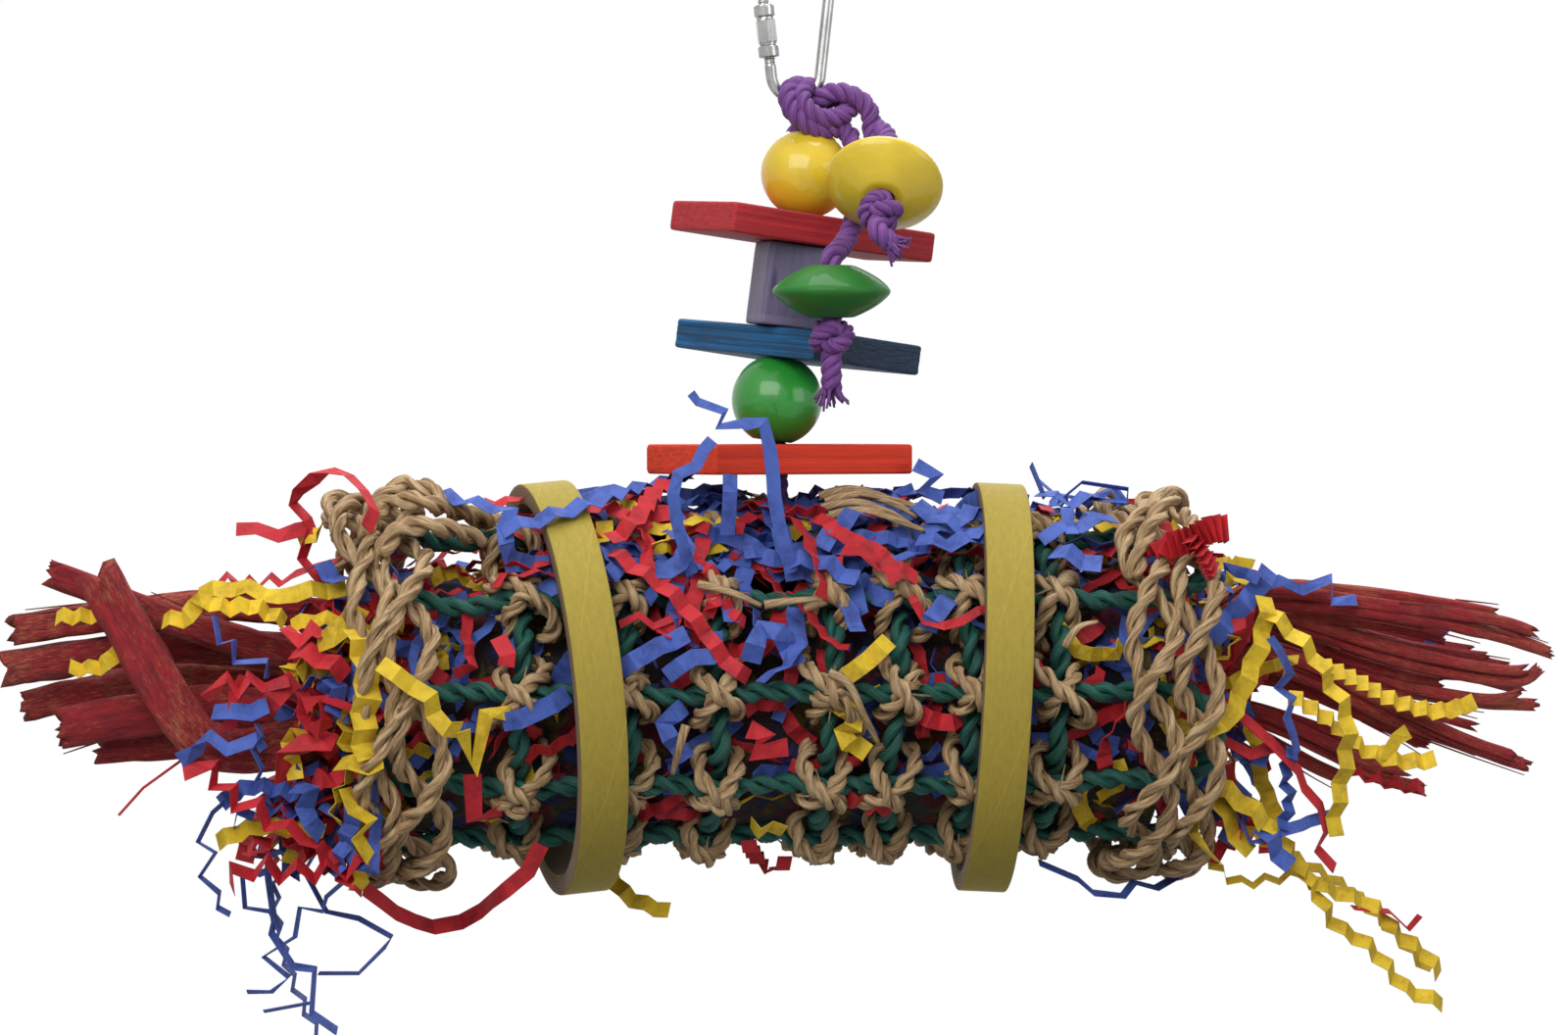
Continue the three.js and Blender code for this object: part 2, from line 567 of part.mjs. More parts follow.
// Paper stuffing, hollowed at both ends for the sticks and on top for the anchor knot
function addStuffing(tube) {
  const length = TUBE_LENGTH - 2 * CORD_D;
  const body = new THREE.CylinderGeometry(STUFFING_R, STUFFING_R, length, 28).rotateZ(Math.PI / 2);
  const pockets = [-1, 1].map((sign) =>
    new THREE.CylinderGeometry(POCKET_R, POCKET_R, 2 * POCKET_DEPTH, 18)
      .rotateZ(Math.PI / 2)
      .translate((sign * length) / 2, 0, 0),
  );
  const anchor = new THREE.Vector3(TAIL_X - TUBE_X, 0, STUFFING_R - TAIL_SINK);
  const well = new THREE.CylinderGeometry(ROPE_WELL_R, ROPE_WELL_R, 2 * TAIL_SINK, 14)
    .rotateX(Math.PI / 2)
    .translate(anchor.x, 0, anchor.z + TAIL_SINK);
  const seat = new THREE.SphereGeometry(ANCHOR_D / 2 + FIT_GAP, 16, 12).translate(...anchor.toArray());
  addMesh(tube, "paper_stuffing", cut(body, ...pockets, well, seat), MATERIALS.paper);
}

function addRings(tube) {
  const half = RING_WIDTH / 2;
  const inner = lashingR + LASHING_D / 2 + RING_CLEARANCE;
  const profile = [
    [inner, -half],
    [inner + RING_WALL, -half],
    [inner + RING_WALL, half],
    [inner, half],
  ];
  for (const { name, after, yaw, lean, sag } of RINGS) {
    const ring = addMesh(tube, name, turned(profile, 40).rotateY(Math.PI / 2), MATERIALS.card);
    ring.position.set((hoopX[after] + hoopX[after + 1]) / 2, 0, -sag);
    ring.rotation.set(0, deg(lean), deg(yaw), "ZYX");
  }
}

// Rough sticks: six-sided bars that thin towards their tips, rooted on the floor of the pocket
function addSticks(tube) {
  const floor = tubeEnd - CORD_D - POCKET_DEPTH + STICK_END_GAP;
  const across = () => new THREE.Vector3(0, 1, 0);
  for (const [side, sign, sticks] of [
    ["left", -1, STICKS_LEFT],
    ["right", 1, STICKS_RIGHT],
  ])
    sticks.forEach(({ w, t, route }, i) => {
      const [, y0, z0] = route[0];
      const points = route.slice(1).map(([out, y, z]) => new THREE.Vector3(sign * (tubeEnd + out), y, z));
      points.unshift(...[0, 7].map((up) => new THREE.Vector3(sign * (floor + up), y0, z0)));
      addMesh(tube, `stick_${side}_${i + 1}`, loft(points, across, t / 2, w / 2, 6, false, 0.2), MATERIALS.stick);
    });
}

// A folded paper ribbon along a route in the plane of the tube's axis
function stripGeometry(route) {
  const curve = new THREE.CatmullRomCurve3(route.map(([x, z]) => new THREE.Vector3(x, 0, z)));
  const folds = Math.round(curve.getLength() / FOLD_STEP);
  const edges = [];
  for (let i = 0; i <= folds; i++) {
    const p = curve.getPointAt(i / folds);
    const along = curve.getTangentAt(i / folds);
    const side = new THREE.Vector3(along.z, 0, -along.x);
    const rise = i ? (i % 2 ? FOLD_RISE : -FOLD_RISE) : 0;
    edges.push([p.clone().addScaledVector(side, rise), p.clone().addScaledVector(side, rise + PAPER_T)]);
  }
  const shape = new THREE.Shape();
  const outline = [...edges.map((e) => e[0]), ...edges.map((e) => e[1]).reverse()];
  outline.forEach((p, i) => (i ? shape.lineTo(p.x, p.z) : shape.moveTo(p.x, p.z)));
  shape.closePath();
  const made = new THREE.ExtrudeGeometry(shape, { depth: PAPER_W, bevelEnabled: false });
  return made.rotateX(Math.PI / 2).translate(0, PAPER_W / 2, 0);
}

function addStrips(tube) {
  for (const { name, end, color, route } of STRIPS) {
    const material = MATERIALS.paper.clone();
    material.color.setHex(color);
    const points = route.map(([out, z]) => [end * (tubeEnd - CORD_D + out), z]);
    addMesh(tube, name, stripGeometry(points), material);
  }
}

addLink(root);
addTopKnot(root);
addMainRope(root);
addStack(root);
addRopeTail(root);
addTassels(root);
const tube = new THREE.Group();
tube.position.set(TUBE_X, 0, tubeZ);
root.add(tube);
addStuffing(tube);
addHoops(tube);
addWarps(tube);
addBands(tube);
addRings(tube);
addSticks(tube);
addStrips(tube);

export default root;
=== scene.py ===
"""A hanging bird toy, dressed over its solids: ropes, beads, slats, a woven tube, paper and palm sticks."""
import math

import bpy
import numpy as np
from mathutils import Matrix, Vector


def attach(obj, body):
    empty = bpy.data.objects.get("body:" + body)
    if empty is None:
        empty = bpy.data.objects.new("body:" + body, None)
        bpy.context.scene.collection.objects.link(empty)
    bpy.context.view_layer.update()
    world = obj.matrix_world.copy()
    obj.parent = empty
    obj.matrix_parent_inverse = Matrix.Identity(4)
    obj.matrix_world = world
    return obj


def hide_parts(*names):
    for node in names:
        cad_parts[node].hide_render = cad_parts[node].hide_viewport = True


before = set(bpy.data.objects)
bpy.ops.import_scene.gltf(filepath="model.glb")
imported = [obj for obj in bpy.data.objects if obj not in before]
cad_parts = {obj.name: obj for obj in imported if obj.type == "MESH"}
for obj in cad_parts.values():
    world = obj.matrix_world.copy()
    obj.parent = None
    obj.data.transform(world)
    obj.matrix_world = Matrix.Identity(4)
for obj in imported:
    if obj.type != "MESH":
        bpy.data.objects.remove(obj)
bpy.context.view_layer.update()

MM = 0.001
SEED = 7
FULL_TURN = 2 * np.pi
WHITE, BLACK = (1, 1, 1), (0, 0, 0)
DOWN = Vector((0, 0, -1))

# Sizes shared with the part's source, in millimetres
WIRE_Z = -47.2  # centre of the quick link's lower wire, from the hang point
LINK_WIRE_D = 3.2
LINK_NARROW_R, LINK_WIDE_R, LINK_SPAN = 6.8, 10.3, 31.7
SLEEVE_LENGTH, SLEEVE_D, SLEEVE_WAIST_D, SLEEVE_COLLAR, SLEEVE_UP = 14.5, 5.8, 5.3, 3.2, 12.5
ROPE_D, ROPE_TILT = 6.0, math.radians(7.4)
STACK_TOP = Vector((2.9, 0, WIRE_Z - 20.5))
BEAD_D, BEAD_HEIGHT = 25.0, 22.6
SLAT = (63.5, 38.1, 8.2)
BLOCK = (19.2, 19.2, 22.8)
STACK_GAP = 0.3
DISC_D, DISC_THICKNESS = 32.0, 14.0
DISC_AT = Vector((19.8, -30.5, WIRE_Z - 24.6))
DISC_AXIS = Vector((-0.2, -0.72, -0.66)).normalized()
SAUCER_AT = Vector((5.4, -30.5, WIRE_Z - 53.8))
STOPPER_REACH = DISC_THICKNESS / 2 + 0.3 + 5
TUBE_X, TUBE_Z, TUBE_LENGTH = -4.5, WIRE_Z - 161.9, 232.0
TAIL_X = -5.0
STUFFING_R, HOOP_R, WARP_R = 35.9, 38.6, 43.7
HOOP_X = [share * TUBE_LENGTH for share in (-0.321, -0.2, -0.097, 0.0345, 0.114, 0.2026, 0.304)]
WARP_COUNT = 5
CORD_D = 4.8
RING_INNER_R, RING_WALL, RING_WIDTH = 51.2, 5.4, 13.0
RINGS = {"ring_left": (0, 5, -5.2, 0), "ring_right": (5, -5, 2.7, 0.7)}  # hoop before it, yaw, lean, sag

# The photograph: pixels to a millimetre, and the pixel where the link's lower wire lies
PX_PER_MM = 3.7
PHOTO_SIZE = (1600, 1056)
WIRE_PX = (812, 101)
VIEW_AZIMUTH, VIEW_ELEVATION, VIEW_DISTANCE = math.radians(-8.0), math.radians(1.0), 1500.0
SENSOR, FAR_CLIP = 36.0, 50

# The studio, in metres: the room's light, the floor, and each lamp's place, size, watts and tint
ROOM_TINT, ROOM_STRENGTH = (0.93, 0.96, 1.0), 0.12
FLOOR_AT, FLOOR_SCALE = (0, -0.3, -0.46), (4, 2.6, 1)
LAMP_AIM = Vector((0, 0, -0.18))
LAMPS = {
    "key": ((-0.75, -1.35, 0.75), (1.6, 1.1), 26, (1, 0.98, 0.95)),
    "fill": ((1.2, -1.0, 0.15), (0.8, 0.8), 4.5, (0.97, 0.98, 1)),
    "top": ((0.1, 0.15, 1.0), (1.0, 0.6), 11, WHITE),
    "back": ((0.3, 1.5, 0.5), (1.2, 0.8), 9, WHITE),
}
SHOWN_RAYS = ("Is Camera Ray", "Is Glossy Ray", "Is Transmission Ray")


# Camera and stage
def linked(thing):
    """Puts an object in the scene."""
    bpy.context.scene.collection.objects.link(thing)
    return thing


def view_axes():
    """The camera's right, up and back directions."""
    level = math.cos(VIEW_ELEVATION)
    back = Vector((math.sin(VIEW_AZIMUTH) * level, -math.cos(VIEW_AZIMUTH) * level, math.sin(VIEW_ELEVATION)))
    right = Vector((0, 0, 1)).cross(back).normalized()
    return right, back.cross(right), back


def view_aim():
    """The place in the middle of the photograph, on the plane of the link."""
    across = (PHOTO_SIZE[0] / 2 - WIRE_PX[0]) / PX_PER_MM
    down = (PHOTO_SIZE[1] / 2 - WIRE_PX[1]) / PX_PER_MM
    return Vector((across / math.cos(VIEW_AZIMUTH), 0, WIRE_Z - down))


def photo_point(px, py, depth):
    """The place where the sight line through a pixel of the photograph reaches a depth (Y) in millimetres."""
    right, up, back = view_axes()
    eye = view_aim() + back * VIEW_DISTANCE
    across = (px - PHOTO_SIZE[0] / 2) / PX_PER_MM
    down = (py - PHOTO_SIZE[1] / 2) / PX_PER_MM
    sight = right * across - up * down - back * VIEW_DISTANCE
    return eye + sight * ((depth - eye.y) / sight.y)


def on_front(px, py, r):
    """The place that a pixel of the photograph shows on the front of a cylinder about the tube's axis."""
    depth = -r
    for _ in range(4):
        up = photo_point(px, py, depth).z - TUBE_Z
        depth = -math.sqrt(max(r * r - up * up, 0))
    return photo_point(px, py, depth)


def add_camera():
    back = view_axes()[2]
    data = bpy.data.cameras.new("camera")
    data.sensor_width = SENSOR
    data.lens = SENSOR * VIEW_DISTANCE * PX_PER_MM / PHOTO_SIZE[0]
    data.clip_end = FAR_CLIP
    camera = linked(bpy.data.objects.new("camera", data))
    camera.location = (view_aim() + back * VIEW_DISTANCE) * MM
    camera.rotation_euler = back.to_track_quat("Z", "Y").to_euler()
    bpy.context.scene.camera = camera


def shown_mask(tree):
    """A socket that is 1 for rays that show the studio itself and 0 for those that only carry its light."""
    rays = tree.nodes.new("ShaderNodeLightPath").outputs
    mask = rays[SHOWN_RAYS[0]]
    for kind in SHOWN_RAYS[1:]:
        either = tree.nodes.new("ShaderNodeMath")
        either.operation = "MAXIMUM"
        tree.links.new(mask, either.inputs[0])
        tree.links.new(rays[kind], either.inputs[1])
        mask = either.outputs[0]
    return mask


def add_world():
    world = bpy.data.worlds.new("studio")
    world.use_nodes = True
    tree = world.node_tree
    tree.nodes.clear()
    mix = tree.nodes.new("ShaderNodeMixShader")
    tree.links.new(shown_mask(tree), mix.inputs["Fac"])
    for place, tint, strength in ((1, ROOM_TINT, ROOM_STRENGTH), (2, WHITE, 1.0)):
        light = tree.nodes.new("ShaderNodeBackground")
        light.inputs["Color"].default_value = (*tint, 1)
        light.inputs["Strength"].default_value = strength
        tree.links.new(light.outputs[0], mix.inputs[place])
    out = tree.nodes.new("ShaderNodeOutputWorld")
    tree.links.new(mix.outputs[0], out.inputs["Surface"])
    bpy.context.scene.world = world


def add_stage():
    bpy.context.scene.view_settings.view_transform = "Standard"
    add_world()
    bpy.ops.mesh.primitive_plane_add(size=1, location=FLOOR_AT)
    floor = bpy.context.object
    floor.name = "studio_floor"
    floor.scale = FLOOR_SCALE
    floor.data.materials.append(plain_stage())
    for name, (at, size, watts, tint) in LAMPS.items():
        data = bpy.data.lights.new(name, "AREA")
        data.shape = "RECTANGLE"
        data.size, data.size_y = size
        data.energy = watts
        data.color = tint
        lamp = linked(bpy.data.objects.new(name, data))
        lamp.location = at
        lamp.rotation_euler = (Vector(at) - LAMP_AIM).to_track_quat("Z", "Y").to_euler()


# Node material helper
class Paint:
    """A node material: each call adds one node, or a few, and returns its output socket."""

    def __init__(self, name):
        self.material = bpy.data.materials.new(name)
        self.material.use_nodes = True
        self.tree = self.material.node_tree
        self.tree.nodes.clear()
        self.shader = self.tree.nodes.new("ShaderNodeBsdfPrincipled")
        out = self.tree.nodes.new("ShaderNodeOutputMaterial")
        self.tree.links.new(self.shader.outputs["BSDF"], out.inputs["Surface"])

    def plug(self, value, socket):
        if isinstance(value, bpy.types.NodeSocket):
            self.tree.links.new(value, socket)
        elif isinstance(value, tuple) and len(value) == 3 and socket.type == "RGBA":
            socket.default_value = (*value, 1)
        else:
            socket.default_value = value

    def node(self, kind, output, settings=None, **inputs):
        made = self.tree.nodes.new(kind)
        for key, value in (settings or {}).items():
            setattr(made, key, value)
        for key, value in inputs.items():
            self.plug(value, made.inputs[key.replace("_", " ")])
        return made.outputs[output]

    def coords(self, scale=(1, 1, 1)):
        base = self.node("ShaderNodeTexCoord", "Object")
        return self.node("ShaderNodeMapping", "Vector", Vector=base, Scale=scale)

    def part(self, vector, axis):
        return self.node("ShaderNodeSeparateXYZ", axis, Vector=vector)

    def strand(self, across, along, skew=0.0):
        """Coordinates on a strand: the share of the way round and the millimetres along, each scaled."""
        uv = self.node("ShaderNodeUVMap", "UV", {"uv_map": "UVMap"})
        way, reach = self.part(uv, "X"), self.part(uv, "Y")
        if skew:
            way = self.plus(way, self.times(reach, skew))
        way, reach = self.times(way, across), self.times(reach, along)
        return self.node("ShaderNodeCombineXYZ", "Vector", X=way, Y=reach)

    def noise(self, vector, scale, detail=3.0, rough=0.6, warp=0.0):
        return self.node("ShaderNodeTexNoise", "Fac", Vector=vector, Scale=scale, Detail=detail,
                         Roughness=rough, Distortion=warp)

    def wave(self, vector, scale, warp, detail, direction):
        return self.node("ShaderNodeTexWave", "Fac", {"bands_direction": direction}, Vector=vector,
                         Scale=scale, Distortion=warp, Detail=detail)

    def ramp(self, fac, *stops):
        made = self.tree.nodes.new("ShaderNodeValToRGB")
        self.plug(fac, made.inputs["Fac"])
        elements = made.color_ramp.elements
        while len(elements) < len(stops):
            elements.new(0.5)
        for element, (place, colour) in zip(elements, stops):
            element.position = place
            element.color = (*colour, 1)
        return made.outputs["Color"]

    def mix(self, fac, a, b):
        made = self.tree.nodes.new("ShaderNodeMix")
        made.data_type = "RGBA"
        for place, value in ((0, fac), (6, a), (7, b)):
            self.plug(value, made.inputs[place])
        return made.outputs[2]

    def tinted(self, tone, by, most, colour):
        """The tone with some of a colour, up to a share of it, where a pattern is high."""
        return self.mix(self.between(by, 0.0, most), tone, colour)

    def math(self, how, a, b=0.0):
        made = self.tree.nodes.new("ShaderNodeMath")
        made.operation = how
        self.plug(a, made.inputs[0])
        self.plug(b, made.inputs[1])
        return made.outputs[0]

    def times(self, a, b):
        return self.math("MULTIPLY", a, b)

    def plus(self, a, b):
        return self.math("ADD", a, b)

    def between(self, fac, low, high):
        return self.node("ShaderNodeMapRange", "Result", Value=fac, To_Min=low, To_Max=high)

    def bump(self, height, strength, distance, under=None):
        base = {} if under is None else {"Normal": under}
        return self.node("ShaderNodeBump", "Normal", Strength=strength, Distance=distance,
                         Height=height, **base)

    def finish(self, colour, roughness, normal=None, **constants):
        self.plug(colour, self.shader.inputs["Base Color"])
        self.plug(roughness, self.shader.inputs["Roughness"])
        if normal is not None:
            self.plug(normal, self.shader.inputs["Normal"])
        for key, value in constants.items():
            self.shader.inputs[key.replace("_", " ")].default_value = value
        return self.material


def srgb(r, g, b):
    """A colour as read off a screen, 0 to 255, as the linear values that shaders take."""
    return tuple((v / 255 / 12.92) if v <= 10 else ((v / 255 + 0.055) / 1.055) ** 2.4 for v in (r, g, b))


def shade(colour, factor):
    return tuple(min(1.0, v * factor) for v in colour)


# Materials
def plain_stage():
    """Floor that is white to look at and dim in the light it throws up."""
    paint = Paint("stage_white")
    grain = paint.noise(paint.coords(), 6, 4)
    pale = paint.ramp(grain, (0.3, (0.86, 0.86, 0.86)), (0.7, (0.9, 0.9, 0.9)))
    return paint.finish(paint.mix(shown_mask(paint.tree), (0.15, 0.15, 0.15), pale), 0.9)


def steel():
    paint = Paint("steel_bright")
    streak = paint.noise(paint.coords((1, 1, 0.15)), 1800, 4)
    cloud = paint.noise(paint.coords(), 120, 3)
    tone = paint.ramp(cloud, (0.3, (0.26, 0.26, 0.26)), (0.7, (0.42, 0.42, 0.41)))
    normal = paint.bump(streak, 0.08, 0.0002)
    return paint.finish(tone, paint.between(streak, 0.14, 0.3), normal, Metallic=1.0)


def lacquer(name, colour, coat=0.5, gloss=0.35, rough=(0.34, 0.46)):
    paint = Paint(name)
    cloud = paint.noise(paint.coords(), 90, 4)
    lines = paint.noise(paint.coords((0.25, 0.25, 3)), 260, 3)
    tone = paint.ramp(cloud, (0.3, shade(colour, 0.86)), (0.7, shade(colour, 1.08)))
    tone = paint.tinted(tone, lines, 0.22, shade(colour, 0.72))
    normal = paint.bump(lines, 0.1, 0.0002, paint.bump(paint.noise(paint.coords(), 500, 2), 0.05, 0.0002))
    return paint.finish(tone, paint.between(cloud, *rough), normal, Coat_Weight=coat, Coat_Roughness=0.04,
                        Specular_IOR_Level=gloss)


def dyed_wood(name, colour, dark, end, ridges=0.25):
    """Sawn wood with the grain along its own X, and darker end grain."""
    paint = Paint(name)
    grain = paint.noise(paint.coords((0.07, 1, 1)), 620, 5, 0.65, 0.4)
    rings = paint.wave(paint.coords((0.1, 1, 1.3)), 95, 5, 3, "Y")
    patch = paint.noise(paint.coords((0.5, 1, 1)), 60, 3)
    tone = paint.ramp(grain, (0.34, dark), (0.62, colour))
    tone = paint.tinted(tone, rings, 0.38, shade(dark, 1.15))
    tone = paint.tinted(tone, patch, 0.3, shade(colour, 1.25))
    saw = paint.noise(paint.coords((0.03, 1, 4)), 300, 3)
    lines = paint.ramp(saw, (0.4, WHITE), (0.52, BLACK))
    tone = paint.mix(paint.times(lines, ridges), tone, shade(dark, 0.75))
    ends = paint.math("ABSOLUTE", paint.part(paint.node("ShaderNodeTexCoord", "Normal"), "X"))
    pores = paint.noise(paint.coords((1, 0.35, 1)), 900, 4)
    cut = paint.ramp(pores, (0.35, shade(end, 0.7)), (0.62, end))
    tone = paint.mix(paint.ramp(ends, (0.6, BLACK), (0.85, WHITE)), tone, cut)
    normal = paint.bump(grain, 0.35, 0.0003, paint.bump(saw, ridges, 0.0012))
    return paint.finish(tone, paint.between(grain, 0.55, 0.8), normal)


def block_wood():
    """Lavender block: faint upright grain, a pale foot, and a long dark mark on its front face: painted shade
    and stain of a shallow hollow that the flat face doesn't have.
    """
    dent_shade_x, dent_shade_stretch, per_square_mm = 0.0074, 0.2, 1e6
    paint = Paint("lavender_wood")
    grain = paint.noise(paint.coords((1, 1, 0.06)), 420, 4, 0.6, 0.3)
    patch = paint.noise(paint.coords(), 70, 3)
    tone = paint.ramp(grain, (0.3, srgb(90, 83, 114)), (0.6, srgb(110, 103, 133)))
    tone = paint.tinted(tone, patch, 0.4, srgb(96, 95, 124))
    at = paint.coords()
    height = paint.part(at, "Z")
    foot = paint.node("ShaderNodeMapRange", "Result", Value=height, From_Min=-0.0092, From_Max=-0.0086)
    tone = paint.mix(paint.ramp(foot, (0.0, (0.6, 0.6, 0.6)), (1.0, BLACK)), tone, srgb(128, 120, 150))
    # painted shade: a dark ellipse for the shade and stain in a shallow hollow; the face itself stays flat
    across, up = paint.plus(paint.part(at, "X"), dent_shade_x), paint.times(height, dent_shade_stretch)
    away = paint.plus(paint.times(across, across), paint.times(up, up))
    dent_shade = paint.ramp(paint.times(away, per_square_mm), (0.0, WHITE), (1.0, BLACK))
    tone = paint.mix(paint.times(dent_shade, 0.8), tone, srgb(58, 48, 92))
    return paint.finish(tone, paint.between(patch, 0.45, 0.65), paint.bump(grain, 0.2, 0.0003))


def card(name, colour):
    """Spiral-wound dyed card: wide slanting bands and fine fibre round the ring's own Z."""
    seams_to_a_radian, seams_to_a_metre = 0.955, 60.0
    paint = Paint(name)
    at = paint.coords()
    angle = paint.math("ARCTAN2", paint.part(at, "Y"), paint.part(at, "X"))
    slant = paint.times(paint.part(at, "Z"), seams_to_a_metre)
    turn = paint.plus(paint.times(angle, seams_to_a_radian), slant)
    line = paint.ramp(paint.math("PINGPONG", turn, 0.5), (0.0, WHITE), (0.025, BLACK))
    fuzz = paint.noise(paint.coords((1, 1, 3)), 320, 5, 0.7)
    cloud = paint.noise(at, 28, 3)
    tone = paint.ramp(fuzz, (0.3, shade(colour, 0.78)), (0.68, shade(colour, 1.06)))
    tone = paint.tinted(tone, cloud, 0.5, shade(colour, 0.8))
    tone = paint.mix(paint.times(line, 0.3), tone, shade(colour, 1.35))
    normal = paint.bump(line, 0.25, 0.0004, paint.bump(fuzz, 0.25, 0.0002))
    return paint.finish(tone, 0.78, normal)


def card_edge():
    """The cut edge of the ring: thin plies of grey-brown board."""
    plies_to_a_metre = 1100.0
    paint = Paint("card_edge")
    at = paint.coords()
    x, y = paint.part(at, "X"), paint.part(at, "Y")
    radius = paint.math("SQRT", paint.plus(paint.times(x, x), paint.times(y, y)))
    ply = paint.math("FRACT", paint.times(radius, plies_to_a_metre))
    tone = paint.ramp(ply, (0.1, srgb(82, 66, 52)), (0.5, srgb(150, 128, 106)), (0.95, srgb(112, 92, 74)))
    fuzz = paint.noise(at, 400, 4)
    tone = paint.tinted(tone, fuzz, 0.6, srgb(140, 118, 80))
    return paint.finish(tone, 0.9, paint.bump(paint.plus(ply, fuzz), 0.35, 0.0004))


def fibre(name, light, dark, deep, lines, bump, sheen=0.0):
    """A twisted strand: fibres run along it with a slight turn."""
    paint = Paint(name)
    strand = paint.noise(paint.strand(lines, 0.05, skew=0.03), 1.6, 4, 0.7)
    patch = paint.noise(paint.coords(), 85, 3)
    fine = paint.noise(paint.coords(), 900, 2)
    tone = paint.ramp(strand, (0.34, deep), (0.46, dark), (0.6, light))
    tone = paint.tinted(tone, patch, 0.55, dark)
    normal = paint.bump(strand, bump, 0.0006, paint.bump(fine, 0.15, 0.0002))
    return paint.finish(tone, paint.between(strand, 0.6, 0.85), normal, Sheen_Weight=sheen)


def paper(name, colour, dark):
    paint = Paint(name)
    mottle = paint.noise(paint.coords(), 140, 4, 0.7)
    grain = paint.noise(paint.coords(), 1500, 2)
    tone = paint.ramp(mottle, (0.3, dark), (0.52, colour), (0.75, shade(colour, 1.22)))
    normal = paint.bump(grain, 0.03, 0.0001, paint.bump(mottle, 0.12, 0.0006))
    return paint.finish(tone, paint.between(grain, 0.6, 0.85), normal)


def dark_core():
    """What shows deep between the strips: crumpled paper with painted shade, its colours darkened as they
    look in shadow and near black in its creases.
    """
    paint = Paint("paper_core_painted_shade")
    cell = paint.node("ShaderNodeTexVoronoi", "Color", Vector=paint.coords(), Scale=150.0)
    # painted shade: the paper colours are darkened as they look in shadow
    tone = paint.ramp(paint.part(cell, "X"), (0.2, srgb(96, 18, 30)), (0.36, srgb(34, 46, 108)),
                      (0.5, srgb(18, 16, 26)), (0.66, srgb(92, 78, 24)), (0.8, srgb(38, 12, 20)))
    crumple = paint.noise(paint.coords(), 220, 4)
    # painted shade: near black where the crumple pattern is low, standing for the shade in the creases
    deep = paint.ramp(crumple, (0.4, WHITE), (0.56, BLACK))
    tone = paint.mix(deep, tone, srgb(9, 7, 9))
    return paint.finish(tone, 0.95, paint.bump(crumple, 0.9, 0.003))


def palm(name, painted_light_gain):
    """Dyed stalk: red with bare tan fibres along it; the second argument paints the dye brighter, as painted
    light for a copy of the same dye that looks more lit.
    """
    dyes = (0.3, srgb(66, 10, 18)), (0.48, srgb(142, 24, 36)), (0.7, srgb(184, 42, 48))
    paint = Paint(name)
    at = paint.strand(9.0, 0.045)
    strand = paint.noise(at, 2.4, 6, 0.75, 0.3)
    bare = paint.noise(at, 5.5, 5, 0.8, 0.2)
    patch = paint.noise(paint.coords(), 40, 4)
    # painted light: the dye colours are scaled brighter for the lit copy
    tone = paint.ramp(strand, *((place, shade(dye, painted_light_gain)) for place, dye in dyes))
    worn = paint.ramp(paint.times(bare, paint.plus(patch, 0.45)), (0.48, BLACK), (0.66, WHITE))
    tone = paint.mix(paint.times(worn, 0.7), tone, srgb(196, 128, 88))
    normal = paint.bump(strand, 0.9, 0.0012, paint.bump(bare, 0.4, 0.0005))
    return paint.finish(tone, paint.between(strand, 0.65, 0.9), normal)


# Paths
def array(points):
    return np.array([tuple(p) for p in points], float)


def unit(vectors):
    return vectors / np.maximum(np.linalg.norm(vectors, axis=-1, keepdims=True), 1e-9)


def lengths_along(points):
    return np.concatenate([[0], np.cumsum(np.linalg.norm(np.diff(points, axis=0), axis=1))])


def along_path(points, step, closed=False):
    """Points a step apart on a smooth curve through the given ones, as an array."""
    given = array(points)
    n = len(given)
    share = np.linspace(0, 1, 16, endpoint=False)[:, None]
    dense = []
    for i in range(n if closed else n - 1):
        pick = [(i + k) % n if closed else min(max(i + k, 0), n - 1) for k in (-1, 0, 1, 2)]
        a, b, c, d = given[pick]
        dense.append(0.5 * (2 * b + (c - a) * share + (2 * a - 5 * b + 4 * c - d) * share ** 2
                            + (3 * b - a - 3 * c + d) * share ** 3))
    dense.append(given[:1] if closed else given[-1:])
    dense = np.concatenate(dense)
    reach = lengths_along(dense)
    count = max(3, int(round(reach[-1] / step)))
    at = np.linspace(0, reach[-1], count + 1)
    if closed:
        at = at[:-1]
    return np.stack([np.interp(at, reach, dense[:, k]) for k in range(3)], 1)


def tangents(points, closed=False):
    if closed:
        return unit(np.roll(points, -1, 0) - np.roll(points, 1, 0))
    return unit(np.gradient(points, axis=0))


def carried_normals(points, closed=False, first=(0.31, -0.87, 0.38)):
    """A direction across the path, carried along it without twisting."""
    normal = np.array(first, float)
    out = []
    for t in tangents(points, closed):
        normal = normal - t * normal.dot(t)
        normal /= max(np.linalg.norm(normal), 1e-9)
        out.append(normal)
    return np.array(out)


def capped(rows):
    """The rows, with the first and the last of them given twice."""
    return np.concatenate([rows[:1], rows, rows[-1:]])


def circle(count):
    return FULL_TURN * np.arange(count) / count


def smooth_noise(rng, count, width, closed=True):
    """Slow random values along a path, about one in size."""
    raw = rng.normal(size=count)
    kernel = np.hanning(width + 2)[1:-1]
    kernel /= np.sqrt((kernel ** 2).sum())
    padded = np.pad(raw, width, mode="wrap" if closed else "reflect")
    return np.convolve(padded, kernel, "same")[width:-width]


